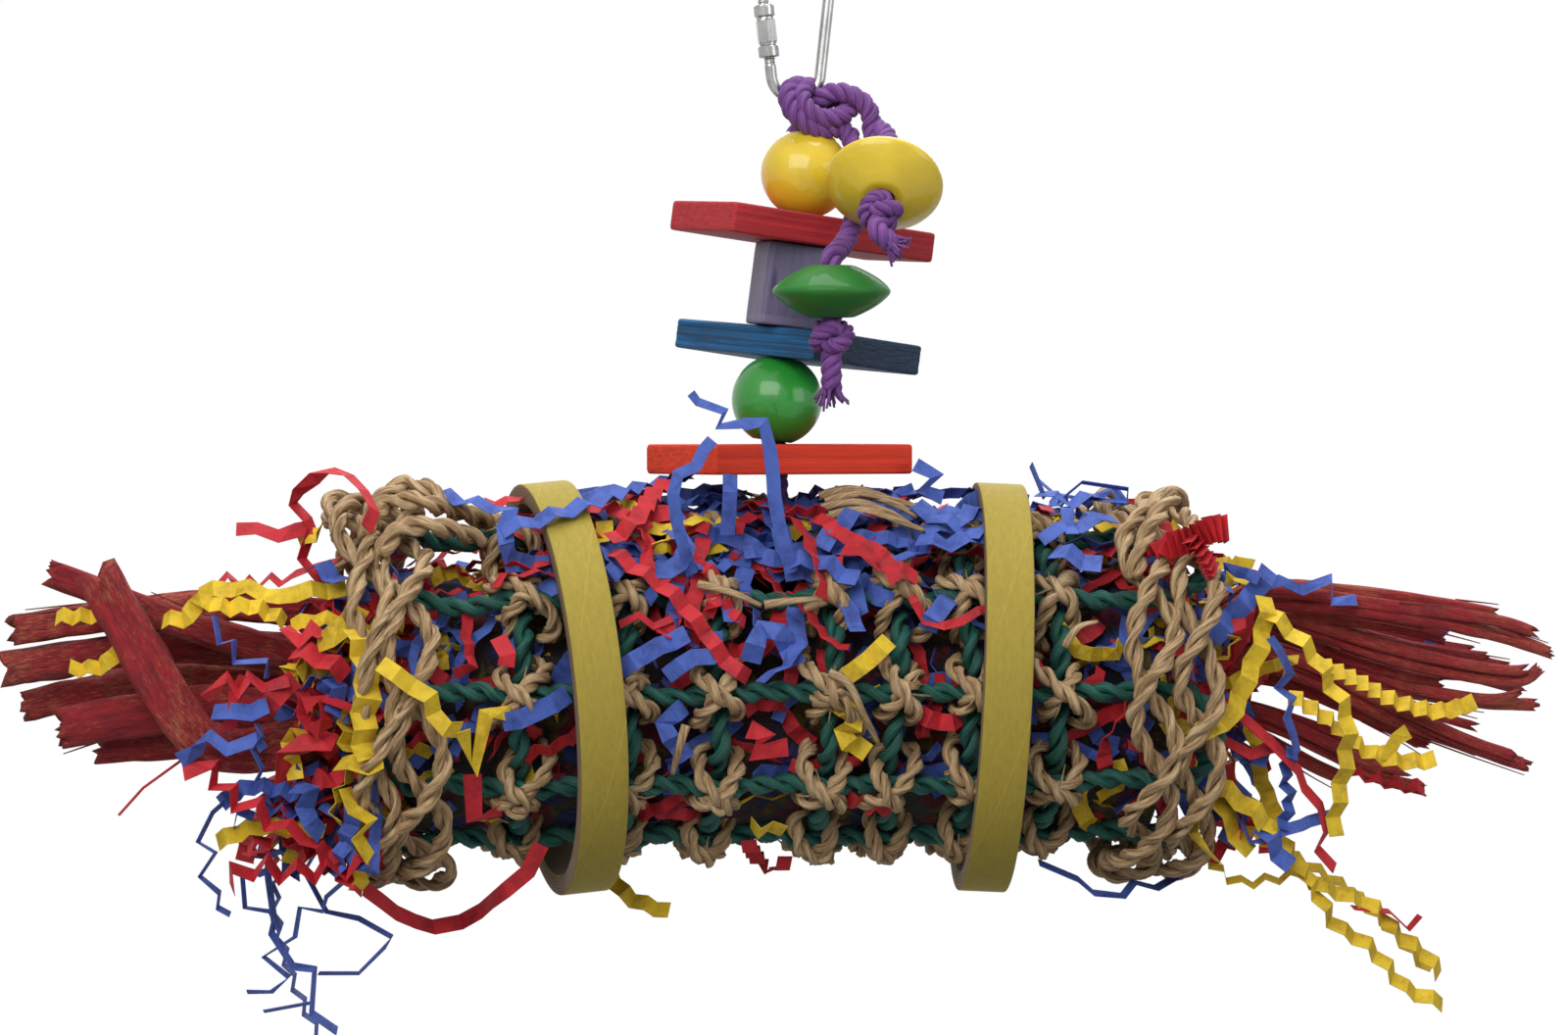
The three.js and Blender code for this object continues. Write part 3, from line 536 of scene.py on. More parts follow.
# Mesh building
class Build:
    """Collects tubes and ribbons into one mesh, in millimetres. Its UV is the share of the way round and the
    millimetres along."""

    def __init__(self):
        self.verts, self.quads, self.uvs, self.count = [], [], [], 0

    def grid(self, rings, along, closed=False):
        n, sides, _ = rings.shape
        ii, kk = np.meshgrid(np.arange(n if closed else n - 1), np.arange(sides), indexing="ij")
        i2, k2 = (ii + 1) % n, (kk + 1) % sides
        corner = np.stack([ii * sides + kk, ii * sides + k2, i2 * sides + k2, i2 * sides + kk], -1)
        far = np.append(along, along[-1] + along[1] - along[0])
        u0, u1 = kk / sides, (kk + 1) / sides
        a0, a1 = far[ii], far[ii + 1]
        uv = np.stack([np.stack(p, -1) for p in ((u0, a0), (u1, a0), (u1, a1), (u0, a1))], 2)
        self.verts.append(rings.reshape(-1, 3))
        self.quads.append(corner.reshape(-1, 4) + self.count)
        self.uvs.append(uv.reshape(-1, 2))
        self.count += n * sides

    def tube(self, points, normals, radius, sides, closed=False, flat=1.0, ridges=None):
        """A round or flattened tube; an open one is drawn to a point at each end."""
        point = 0.02
        radius = np.broadcast_to(np.asarray(radius, float), (len(points),))
        along = tangents(points, closed)
        if not closed:
            points, normals, along, radius = (capped(rows) for rows in (points, normals, along, radius))
            radius[[0, -1]] *= point
            ridges = None if ridges is None else capped(ridges)
        across = np.cross(along, normals)
        angle = circle(sides)
        ring = (normals[:, None] * np.cos(angle)[None, :, None]
                + across[:, None] * (flat * np.sin(angle))[None, :, None])
        if ridges is not None:
            ring = ring * ridges[..., None]
        reach = lengths_along(points) + np.arange(len(points)) * 1e-6
        self.grid(points[:, None] + ring * radius[:, None, None], reach, closed)

    def twist(self, path, diameter, plies, pitch, sides, closed=False, start=0.0, rough=0.0, rng=None):
        """A cord of twisted plies along the path, grooved along the plies where it is rough."""
        ply_r = diameter * (0.25 if plies == 2 else 0.235)
        off = diameter / 2 - ply_r
        normals = carried_normals(path, closed)
        along = tangents(path, closed)
        across = np.cross(along, normals)
        reach = lengths_along(path)
        turn = FULL_TURN / pitch
        if closed:
            total = reach[-1] + np.linalg.norm(path[0] - path[-1])
            slip = np.arctan2(normals[0].dot(np.cross(along[0], normals[-1])), normals[0].dot(normals[-1]))
            turn = (FULL_TURN * max(1, round(total / pitch)) + slip) / total
        for ply in range(plies):
            angle = (reach * turn + FULL_TURN * ply / plies + start)[:, None]
            out = normals * np.cos(angle) + across * np.sin(angle)
            ridges = None
            if rough:
                ridges = 1 + rough * np.stack([rng.normal() + 0.7 * smooth_noise(rng, len(path), 9, closed)
                                               for _ in range(sides)], 1)
            self.tube(path + out * off, out, ply_r, sides, closed, ridges=ridges)

    def mesh(self, name, material, smooth=True, mapped=True):
        verts = np.concatenate(self.verts) * MM
        quads = np.concatenate(self.quads).astype(np.int32)
        mesh = bpy.data.meshes.new(name)
        mesh.vertices.add(len(verts))
        mesh.vertices.foreach_set("co", verts.astype(np.float32).ravel())
        mesh.loops.add(quads.size)
        mesh.loops.foreach_set("vertex_index", quads.ravel())
        mesh.polygons.add(len(quads))
        mesh.polygons.foreach_set("loop_start", np.arange(0, quads.size, 4, dtype=np.int32))
        mesh.polygons.foreach_set("use_smooth", np.full(len(quads), smooth))
        if mapped:
            layer = mesh.uv_layers.new(name="UVMap")
            layer.data.foreach_set("uv", np.concatenate(self.uvs).astype(np.float32).ravel())
        mesh.update(calc_edges=True)
        mesh.materials.append(material)
        return mesh

    def piece(self, name, material, body, slot, *nodes, smooth=True):
        mesh = self.mesh(name, material, smooth)
        return dress(bpy.data.objects.new(name, mesh), body, slot, *nodes)


def dress(piece, body, slot, *nodes):
    """Puts a finished piece in the scene, on its body, in place of its solids."""
    linked(piece)
    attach(piece, body)
    if nodes:
        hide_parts(*nodes)
    return piece


def shaped(name, rings, material, matrix):
    """A piece made of rings of points about its own Z, closed on itself and placed by a matrix."""
    build = Build()
    build.grid(rings[::-1], np.arange(len(rings)), closed=True)
    piece = bpy.data.objects.new(name, build.mesh(name, material, mapped=False))
    piece.matrix_world = matrix
    return piece


def turned(name, profile, segments, material, matrix):
    """A piece turned about its own Z from [radius, height] points."""
    radius, height = np.array(profile, float).T[:, :, None]
    angle = circle(segments)
    rings = np.stack(np.broadcast_arrays(radius * np.cos(angle), radius * np.sin(angle), height), -1)
    return shaped(name, rings, material, matrix)


def placed(at, *turns):
    """A matrix for a place in millimetres and (axis, angle) turns, outermost first."""
    matrix = Matrix.Translation(at * MM)
    for axis, angle in turns:
        matrix = matrix @ Matrix.Rotation(angle, 4, axis)
    return matrix


def turn_to(axis):
    """The turn from upright to an axis."""
    return Vector((0, 0, 1)).rotation_difference(Vector(axis)).to_matrix()


# Places
def on_stack(s):
    return STACK_TOP + Vector((-math.sin(ROPE_TILT), 0, -math.cos(ROPE_TILT))) * s


def on_disc(s):
    return DISC_AT + DISC_AXIS * s


def on_saucer(s):
    return SAUCER_AT + DOWN * s


def from_wire(x, y, z):
    return Vector((x, y, z + WIRE_Z))


def around_tube(x, r, a):
    """A place on the woven tube: along it, out from its axis, and round it from the top towards the front."""
    return np.stack(np.broadcast_arrays(TUBE_X + x, -r * np.sin(a), TUBE_Z + r * np.cos(a)), -1)


RED_S = BEAD_HEIGHT / 2 + STACK_GAP + SLAT[2] / 2
BLOCK_S = RED_S + SLAT[2] / 2 + STACK_GAP + BLOCK[2] / 2
BLUE_S = BLOCK_S + BLOCK[2] / 2 + STACK_GAP + SLAT[2] / 2
GREEN_S = BLUE_S + SLAT[2] / 2 + STACK_GAP + BEAD_HEIGHT / 2
BORE_R = ROPE_D / 2 + 0.4
BEAD_FLAT_R = 5.34
STACK_END_Z = on_stack(GREEN_S + BEAD_HEIGHT / 2).z - BEAD_FLAT_R * math.sin(ROPE_TILT)
ORANGE_Z = STACK_END_Z - STACK_GAP - SLAT[2] / 2

# The purple rope, and the knots tied in it: how it is laid, its point spacing, and a knot's size as
# [radius, swing of the radius, rise, points]
ROPE = {"plies": 3, "pitch": 9.5, "sides": 9}
KNOT_ROPE = {"plies": 3, "pitch": 8.0, "sides": 8}
ROPE_STEP, LONG_ROPE_STEP = 0.6, 0.7
STOPPER_KNOT, STOPPER_KNOT_D = (3.25, 1.05, 2.35, 90), 4.7
ANCHOR_KNOT, ANCHOR_KNOT_D = (2.2, 0.8, 1.9, 80), 4.6
ANCHOR_Z = TUBE_Z + STUFFING_R - 17
MAIN_STATIONS = (-12.5, 20, 60, GREEN_S + 11.2)
TAIL_HEIGHTS = (STACK_END_Z - 0.4, ANCHOR_Z + 18, ANCHOR_Z)

# The two tassels: the routes of their ropes, where each cut end points, and how long its fray is
DISC_TAIL = Vector((0.75, -0.1, -0.65))
DISC_END = on_disc(STOPPER_REACH + 8)
DISC_ROUTE = [from_wire(22.2, -6.7, -8.7), from_wire(23.4, -13, -11.5), on_disc(-11), on_disc(-7), on_disc(0),
              on_disc(STOPPER_REACH), on_disc(STOPPER_REACH + 5), DISC_END, DISC_END + DISC_TAIL * 6]
SAUCER_ROUTE = [from_wire(15, -6.5, -12.6), from_wire(16, -12, -18), from_wire(15, -15.4, -27),
                from_wire(13, -17, -36), from_wire(10, -20, -41), on_saucer(-9), on_saucer(-5), on_saucer(0),
                on_saucer(STOPPER_REACH), on_saucer(STOPPER_REACH + 6), on_saucer(STOPPER_REACH + 14)]
DISC_FRAY, SAUCER_FRAY = 4.5, 6.5
FRAY_YARNS, FRAY_SPREAD = 26, 3.2

# The knot on the link: the turn of rope under it, then pixels of the photograph with a depth, each row one
# run of rope
KNOT_RUN_D, COLLAR_D = 5.8, 5.2
COLLAR_X, COLLAR_DROP, COLLAR_WIDE, COLLAR_DEEP, COLLAR_SLANT = 4.2, 8.6, 4.4, 3.8, 0.9
KNOT_RUNS = [
    ((826, 118, 5), (822, 92, 4), (812, 88, -1), (804, 96, -5), (808, 112, -7), (822, 126, -7.4),
     (840, 133, -6), (856, 131, -4), (866, 137, -4.6), (871, 149, -6.5)),
    ((838, 122, 5), (834, 96, 4), (824, 89, 0), (817, 98, -5), (824, 112, -7.6), (840, 121, -7.6),
     (856, 119, -6), (866, 112, -3), (860, 103, 1), (846, 100, 1)),
    ((830, 112, 2), (838, 100, -2), (852, 94, -4), (868, 97, -5), (882, 106, -5.5), (889, 120, -6),
     (890, 136, -6.8), (894, 146, -8.5)),
]


# Rope tassels, knots and main rope
def frayed(build, tip, aim, reach, rng):
    """Loose yarns that splay from a rope's cut end."""
    aim = np.array(aim, float) / np.linalg.norm(aim)
    for _ in range(FRAY_YARNS):
        side = rng.normal(size=3)
        side -= aim * side.dot(aim)
        side /= np.linalg.norm(side)
        far = reach * rng.uniform(0.6, 1.1)
        start = np.array(tip) + side * rng.uniform(0.2, 2.0) - aim * 2.0
        middle = start + aim * (far * 0.55) + side * FRAY_SPREAD * rng.uniform(0.1, 0.5)
        end = middle + aim * far * 0.5 + side * FRAY_SPREAD * rng.uniform(0.1, 1.0) + rng.normal(size=3) * 0.5
        path = along_path([start, middle, end], 0.7)
        build.tube(path, carried_normals(path), np.linspace(0.62, 0.34, len(path)), 5)


def overhand(build, at, turn, size, diameter):
    """A tight overhand knot: the rope goes round its own axis twice while it rises and falls three times."""
    radius, swing, rise, count = size
    t = circle(count)
    out = radius + swing * np.cos(3 * t)
    local = np.stack([out * np.cos(2 * t), out * np.sin(2 * t), rise * np.sin(3 * t)], 1)
    build.twist(local @ np.array(turn).T + np.array(at), diameter, **KNOT_ROPE, closed=True)


def tassel(name, points, tail_aim, fray, stopper, stopper_axis, nodes, rng, material):
    path = along_path(points, ROPE_STEP)
    rope, ends, stop = Build(), Build(), Build()
    rope.twist(path, ROPE_D, **ROPE)
    piece = rope.piece(name, material, "tassels", "rope", nodes[0])
    frayed(ends, path[-1], tail_aim, fray, rng)
    loose = ends.piece(name + "_fray", material, "tassels", "rope")
    overhand(stop, stopper, turn_to(stopper_axis), STOPPER_KNOT, STOPPER_KNOT_D)
    knot = stop.piece(name.replace("_rope", "_knot"), material, "tassels", "rope", nodes[1])
    float(lengths_along(path)[-1]) * MM


def add_tassels(material):
    rng = np.random.default_rng(SEED + 1)
    tassel("disc_rope", DISC_ROUTE, DISC_TAIL, DISC_FRAY, on_disc(STOPPER_REACH), DISC_AXIS,
           ("disc_tassel_rope", "disc_stopper_knot"), rng, material)
    tassel("saucer_rope", SAUCER_ROUTE, DOWN, SAUCER_FRAY, on_saucer(STOPPER_REACH), DOWN,
           ("saucer_tassel_rope", "saucer_stopper_knot"), rng, material)


def add_ropes(material):
    knot, main, tail = Build(), Build(), Build()
    for run in KNOT_RUNS:
        knot.twist(along_path([photo_point(*p) for p in run], ROPE_STEP), KNOT_RUN_D, **ROPE)
    t = circle(40)
    collar = np.stack([COLLAR_X + COLLAR_WIDE * np.cos(t), COLLAR_DEEP * np.sin(t),
                       WIRE_Z - COLLAR_DROP + COLLAR_SLANT * np.cos(t)], 1)
    knot.twist(along_path(collar, ROPE_STEP, True), COLLAR_D, **ROPE, closed=True)
    knot.piece("top_knot_rope", material, "hanging_rope", "rope", "top_knot")
    main.twist(along_path([on_stack(s) for s in MAIN_STATIONS], LONG_ROPE_STEP), ROPE_D, **ROPE)
    main.piece("main_rope_strands", material, "hanging_rope", "rope", "main_rope")
    route = [Vector((TAIL_X, 0, z)) for z in TAIL_HEIGHTS]
    tail.twist(along_path(route, LONG_ROPE_STEP), ROPE_D, **ROPE)
    overhand(tail, route[-1], np.eye(3), ANCHOR_KNOT, ANCHOR_KNOT_D)
    tail.piece("rope_tail_strands", material, "rope_swivel", "rope", "rope_tail")


# Quick link
def mirrored(upper, middle=()):
    """A profile of (radius, height, ...) rows from its upper half, given from the middle upwards."""
    return [(r, -z, *rest) for r, z, *rest in upper[::-1]] + [*middle, *upper]


def add_link(material):
    half_gate, thread_length, thread_pitch, thread_depth = 3.5, 6, 0.8, 0.13
    lean = math.asin((LINK_WIDE_R - LINK_NARROW_R) / LINK_SPAN)
    low_z = WIRE_Z + LINK_NARROW_R
    high_z = low_z + LINK_SPAN
    foot = np.array([-LINK_NARROW_R * math.cos(lean), 0, low_z - LINK_NARROW_R * math.sin(lean)])
    up = np.array([-math.sin(lean), 0, math.cos(lean)])
    leg = LINK_SPAN * math.cos(lean)

    def on_leg(first, last, count):
        return [foot + up * s for s in np.linspace(first, last, count)]

    def bend(radius, z, first, last, count):
        a = np.linspace(first, last, count)
        return list(np.stack([radius * np.cos(a), 0 * a, z + radius * np.sin(a)], 1))

    left = on_leg(SLEEVE_UP + half_gate, leg, 12)
    over = bend(LINK_WIDE_R, high_z, math.pi + lean, -lean, 40)
    right = [p * (-1, 1, 1) for p in on_leg(leg, 0, 16)]
    under = bend(LINK_NARROW_R, low_z, -lean, lean - math.pi, 30)
    last = on_leg(0, SLEEVE_UP - half_gate, 6)
    path = along_path(left + over[1:] + right[1:] + under[1:] + last[1:], 0.2)
    reach = lengths_along(path)
    threaded = np.minimum(reach, reach[-1] - reach) < thread_length
    groove = np.where(threaded, thread_depth * (1 + np.sin(reach * FULL_TURN / thread_pitch)), 0)
    wire = Build()
    wire.tube(path, carried_normals(path, first=(0, 1, 0)), LINK_WIRE_D / 2 - groove, 20)
    wire.piece("link_wire", material, "link", "steel", "quick_link_body")

    half, collar = SLEEVE_LENGTH / 2, SLEEVE_LENGTH / 2 - SLEEVE_COLLAR
    inner, outer, waist = LINK_WIRE_D / 2 + 0.3, SLEEVE_D / 2, SLEEVE_WAIST_D / 2
    angle = circle(72)
    sixth = np.pi / 3
    hexed = 0.94 / np.cos((angle + sixth / 2) % sixth - sixth / 2)
    upper = [(waist, collar - 1.1, hexed), (waist - 0.2, collar - 0.8, 1), (waist - 0.25, collar - 0.2, 1),
             (outer - 0.2, collar, 1), (outer, collar + 0.3, 1), (outer, half - 0.3, 1),
             (outer - 0.35, half, 1), (inner, half, 1)]
    rows = mirrored(upper)
    rings = np.array([np.stack([r * form * np.cos(angle), r * form * np.sin(angle), z + 0 * angle], 1)
                      for r, z, form in rows])
    rings = rings @ np.array(turn_to(up)).T + foot + up * SLEEVE_UP
    sleeve = Build()
    sleeve.grid(rings[::-1], np.arange(len(rows)), closed=True)
    sleeve.piece("link_sleeve", material, "gate_sleeve", "steel", "quick_link_sleeve", smooth=False)


# The slats: turn about the rope, which end the hole is nearer, how far the hole is from that end and from
# the long edge, and how rough the sawn sides are. The block: its turn, roughness, corners and edges
SLATS = {
    "red": (20, -1, 27.5, 13.2, 0.12),
    "blue": (-60, 1, 23.2, 7.8, 0.42),
    "orange": (23, -1, 31.3, 19.2, 0.1),
}
BLOCK_TURN, BLOCK_FORM = 6, (0.06, 1.0, 0.6)


# Stack
def bored(face, half):
    """A profile with the eased edges of the bore before and after its outer face."""
    low = [(BORE_R, -half + 0.5), (BORE_R + 0.3, -half + 0.1), (BORE_R + 0.6, -half)]
    return low + face + [(r, -z) for r, z in low[::-1]]


def bead_profile():
    end = math.pi / 2 - math.acos(BEAD_HEIGHT / BEAD_D)
    ball = [(BEAD_D / 2 * math.cos(a), BEAD_D / 2 * math.sin(a)) for a in np.linspace(-end, end, 48)]
    return bored(ball, BEAD_HEIGHT / 2)


def saucer_profile():
    half, rim = DISC_THICKNESS / 2, DISC_D / 2
    upper = [(rim * 0.93, half * 0.25, 0), (rim * 0.72, half * 0.62, 0), (6.5, half - 0.2, 0), (4.2, half, 0)]
    corners = mirrored(upper, [(rim, 0, 0)])
    return bored([(r, z) for r, z, _ in along_path(corners, 0.5)], half)


def plate(name, low, high, height, material, matrix, rng, ridge, corner=1.2, edge=0.7):
    """A sawn plate with a round hole at its own origin: edges worn round, sides with real saw ridges."""
    rim_step, flat_in, hole_ease, top = 1.4, 0.9, 0.35, height / 2
    (x0, y0), (x1, y1) = np.array(low) + corner, np.array(high) - corner
    centres = [(x0, y0), (x1, y0), (x1, y1), (x0, y1)]
    rim = []
    for k, (cx, cy) in enumerate(centres):
        for a in np.linspace(-math.pi, -math.pi / 2, 6) + k * math.pi / 2:
            rim.append((cx + corner * math.cos(a), cy + corner * math.sin(a)))
        nx, ny = centres[(k + 1) % 4]
        turn = (k - 1) * math.pi / 2
        for share in np.linspace(0, 1, int(math.hypot(nx - cx, ny - cy) / rim_step))[1:-1]:
            rim.append((cx + (nx - cx) * share + corner * math.cos(turn),
                        cy + (ny - cy) * share + corner * math.sin(turn)))
    rim = np.array(rim)
    centre, half = (np.array(high) + np.array(low)) / 2, (np.array(high) - np.array(low)) / 2
    angle = np.arctan2(rim[:, 1], rim[:, 0])
    hole = np.stack([np.cos(angle), np.sin(angle)], 1) * BORE_R

    def slow(width):
        return np.convolve(rng.normal(size=len(rim) + width - 1), np.ones(width) / width, "valid")

    def inset(amount):
        amount = np.broadcast_to(amount, (len(rim),))[:, None]
        return centre + (rim - centre) * (1 - amount / half)

    worn = np.abs(slow(9) * 0.35) * 0.5
    on_side = np.minimum(1, np.minimum(rim[:, 0] - low[0], high[0] - rim[:, 0]) / 3)
    face = [(hole, top - 0.5), (hole * (1 + hole_ease / BORE_R), top), (hole * 0.6 + inset(edge) * 0.4, top),
            (inset(edge + flat_in), top)]
    for a in np.linspace(0, math.pi / 2, 4):
        face.append((inset(edge * (1 - math.sin(a)) + worn), top - edge * (1 - math.cos(a))))
    sawn = []
    for z in np.linspace(top - edge, -top + edge, 13)[1:-1]:
        along = slow(13)
        sawn.append((inset(on_side * ridge * (abs(rng.normal()) + along)), z))
    rows = [(hole, 0)] + face + sawn + [(xy, -z) for xy, z in face[::-1]]
    rings = np.array([np.column_stack([xy, np.full(len(rim), z)]) for xy, z in rows])
    return shaped(name, rings, material, matrix)


def slat_corners(end, from_end, from_edge):
    left = -from_end if end < 0 else from_end - SLAT[0]
    return (left, -from_edge), (left + SLAT[0], SLAT[1] - from_edge)


def add_stack(paints):
    rng = np.random.default_rng(SEED + 2)
    lean = ("Y", ROPE_TILT)
    for name, colour, s in (("bead_top", "yellow", 0), ("bead_low", "green", GREEN_S)):
        piece = turned(name, bead_profile(), 72, paints[colour], placed(on_stack(s), lean))
        dress(piece, colour + "_bead", colour + "_lacquer", colour + "_bead")
    for name, node, at, turn, paint, slot in (
            ("disc_body", "yellow_disc", DISC_AT, turn_to(DISC_AXIS).to_4x4(), "yellow", "yellow_lacquer"),
            ("saucer_body", "green_saucer", SAUCER_AT, Matrix(), "saucer", "green_lacquer")):
        dress(turned(name, saucer_profile(), 80, paints[paint], placed(at) @ turn), node, slot, node)
    stands = {"red": placed(on_stack(RED_S), lean), "blue": placed(on_stack(BLUE_S), lean),
              "orange": placed(Vector((TAIL_X, 0, ORANGE_Z)))}
    for colour, (turn, end, from_end, from_edge, ridge) in SLATS.items():
        node = colour + "_slat"
        matrix = stands[colour] @ Matrix.Rotation(math.radians(turn), 4, "Z")
        corners = slat_corners(end, from_end, from_edge)
        piece = plate("slat_" + colour, *corners, SLAT[2], paints[node], matrix, rng, ridge)
        dress(piece, node, colour + "_wood", node)
    side, node = BLOCK[0] / 2, "lavender_block"
    matrix = placed(on_stack(BLOCK_S), lean, ("Z", math.radians(BLOCK_TURN)))
    piece = plate("block_body", (-side, -side), (side, side), BLOCK[2], paints[node], matrix, rng,
                  *BLOCK_FORM)
    dress(piece, node, "lavender_wood", node)


# Woven tube: how its cords are laid, and the angle between two runs of warp
GREEN_CORD = {"diameter": 5.7, "plies": 2, "pitch": 15, "sides": 10, "rough": 0.11}
LASH_CORD = {"diameter": 4.8, "plies": 2, "pitch": 13, "sides": 10, "rough": 0.13}
THIN_LASH_CORD = {"diameter": 3.9, "plies": 2, "pitch": 11, "sides": 9, "rough": 0.13}
BAND_CORD = {"diameter": 5.3, "plies": 2, "pitch": 18, "sides": 11, "rough": 0.14}
WRAP_CORD = {**BAND_CORD, "diameter": 5.4}
CORD_STEP, LASH_STEP = 1.0, 0.8
RUN_ANGLE = math.pi / WARP_COUNT
HOOP_BULGE, HOOP_WANDER = 3.4, 0.7
WARP_DIP, WARP_STRAY, WARP_EASE = 2.0, 0.8, 8

# A lashing: the height of its two crossed turns; their half width and half length; the points of a turn as
# shares of these; how far a turn drops to its ends; the flat turn over some of them; and its loose fibres
LASH_TOPS, LASH_R = (48.6, 46.9), 46
LASH_WIDE, LASH_LONG, LASH_VARIES = 5.8, 7.6, 0.14
LASH_ALONG = np.array([-1.3, -1.0, -0.6, -0.25, 0.25, 0.6, 1.0, 1.3])
LASH_OUT = np.array([-0.45, -0.95, -0.75, -0.3, 0.3, 0.75, 0.95, 0.45])
LASH_DROP = 8.2 * np.abs(LASH_ALONG) ** 2.4 * np.where(np.abs(LASH_ALONG) > 1.1, 0.8, 1)
OVER_TOP, OVER_WIDE, OVER_DROP, OVER_CHANCE = 49.0, 5.6, 9, 0.45
FUZZ_TOP, FUZZ_DROP, FUZZ_LENGTH, FUZZ_R = 48, 3, 8, (0.5, 0.2)
RING_PRESS = 0.9  # how much flatter lashings lie where a card ring slides over them

# The pairs of natural cord twined round each end: the slant of the end, then for each pair its layer, its
# middle along the tube, how far its cords swing to each side, and where its twist starts
BANDS = {
    "left": (4.2, (("inner", -114.6, 4.6, 0.0), ("outer", -104.4, 6.2, 1.57))),
    "right": (0.8, (("inner", 108.0, 5.4, 0.6), ("outer", 95.2, 5.8, 2.1))),
}
BAND_R, BAND_RISE, BAND_TURNS, BAND_WANDER, BAND_SLIP = 50.4, 2.6, 6, 0.9, 0.3

# Loose turns of natural cord over the tube's ends: pixels of the photograph with a radius
WRAPS = [
    ((372, 546, 54), (386, 514, 57), (413, 494, 58.5), (437, 499, 58.5), (466, 519, 54), (500, 531, 47.5),
     (520, 542, 44)),
    ((378, 530, 55.5), (398, 511, 57.5), (435, 514, 58), (472, 526, 50), (500, 534, 46.5),
     (516, 546, 43.5)),
    ((388, 566, 53), (408, 540, 56), (436, 537, 57), (462, 541, 53), (490, 552, 46)),
    ((1156, 590, 51), (1166, 556, 55), (1184, 522, 57.5), (1198, 506, 58)),
]

# Loose straws of the natural cord: pixels of the photograph with a radius
STRAW_R, STRAW_FLAT = (1.3, 0.7), 0.4
STRAWS = [
    ((712, 596, 51), (745, 604, 52), (777, 618, 50)),
    ((780, 617, 50.5), (808, 613, 51.5), (836, 611, 50)),
    ((846, 686, 50.5), (866, 698, 51.5), (880, 726, 50), (896, 758, 46)),
    ((836, 506, 54), (866, 499, 56), (900, 506, 56), (928, 522, 54)),
    ((842, 512, 54), (874, 504, 56), (912, 514, 56), (936, 528, 53)),
    ((838, 518, 53), (872, 512, 55), (906, 522, 55), (930, 536, 52)),
    ((846, 526, 53), (880, 520, 54.5), (918, 532, 54), (944, 542, 51)),
    ((852, 500, 55), (890, 505, 57), (940, 518, 54)),
    ((700, 740, 49), (694, 760, 50), (686, 790, 46)),
    ((1086, 660, 48), (1100, 640, 50), (1120, 634, 47)),
]


def lash(build, x, angle, rng, low):
    """Two turns of natural cord over a crossing of hoop and warp, with their ends tucked behind the hoop, and
    loose fibres. low is how much flatter they lie."""
    lean = rng.normal() * 0.12
    count = len(LASH_ALONG)
    for phase, top in zip((1, -1), LASH_TOPS):
        wide = LASH_WIDE * (1 + rng.normal() * LASH_VARIES)
        long = LASH_LONG * (1 + rng.normal() * LASH_VARIES)
        r = top - low - LASH_DROP + rng.normal(size=count) * 0.25
        arc = LASH_ALONG * long + rng.normal(size=count) * 0.3
        path = around_tube(x + phase * wide * LASH_OUT + lean * arc, r, angle + arc / LASH_R)
        build.twist(along_path(path, LASH_STEP), **LASH_CORD, start=rng.uniform(0, 6), rng=rng)
    if rng.uniform() < OVER_CHANCE:
        s = np.linspace(-1, 1, 7)
        across = s * OVER_WIDE + rng.normal(size=7) * 0.3
        arc = rng.normal() * 2.5 + rng.normal(size=7) * 0.4 + s * rng.normal() * 2
        path = around_tube(x + across, OVER_TOP - low - OVER_DROP * np.abs(s) ** 2.2, angle + arc / LASH_R)
        build.twist(along_path(path, LASH_STEP), **THIN_LASH_CORD, start=rng.uniform(0, 6), rng=rng)
    for _ in range(rng.integers(0, 4)):
        way = rng.uniform(0, FULL_TURN)
        s = np.linspace(0, 1, 4)
        reach = s * FUZZ_LENGTH
        r = FUZZ_TOP - FUZZ_DROP * s + rng.normal(size=4) * 0.5
        path = around_tube(x + math.cos(way) * reach, r, angle + math.sin(way) * reach / LASH_R)
        path = along_path(path, 1.2)
        build.tube(path, carried_normals(path), np.linspace(*FUZZ_R, len(path)), 4)


def add_hoops(green, natural, rng):
    turn = circle(224)
    between = np.cos(WARP_COUNT * turn) ** 2  # 0 where a hoop crosses a run of warp, 1 halfway
    for i, x in enumerate(HOOP_X):
        hoop, lashing = Build(), Build()
        wander = HOOP_WANDER * smooth_noise(rng, len(turn), 25)
        path = around_tube(x + wander, HOOP_R + HOOP_BULGE * between, turn)
        hoop.twist(along_path(path, CORD_STEP, True), **GREEN_CORD, closed=True, rng=rng)
        hoop.piece(f"hoop_{i + 1}", green, "tube", "green_cord", f"hoop_cord_{i + 1}")
        low = RING_PRESS if any(i in (after, after + 1) for after, *_ in RINGS.values()) else 0
        for m in range(2 * WARP_COUNT):
            cross = RUN_ANGLE * (m + 0.5)
            lash(lashing, x + np.interp(cross, turn, wander), cross, rng, low)
        lashing.piece(f"lashing_{i + 1}", natural, "tube", "natural_cord", f"lashing_cord_{i + 1}")


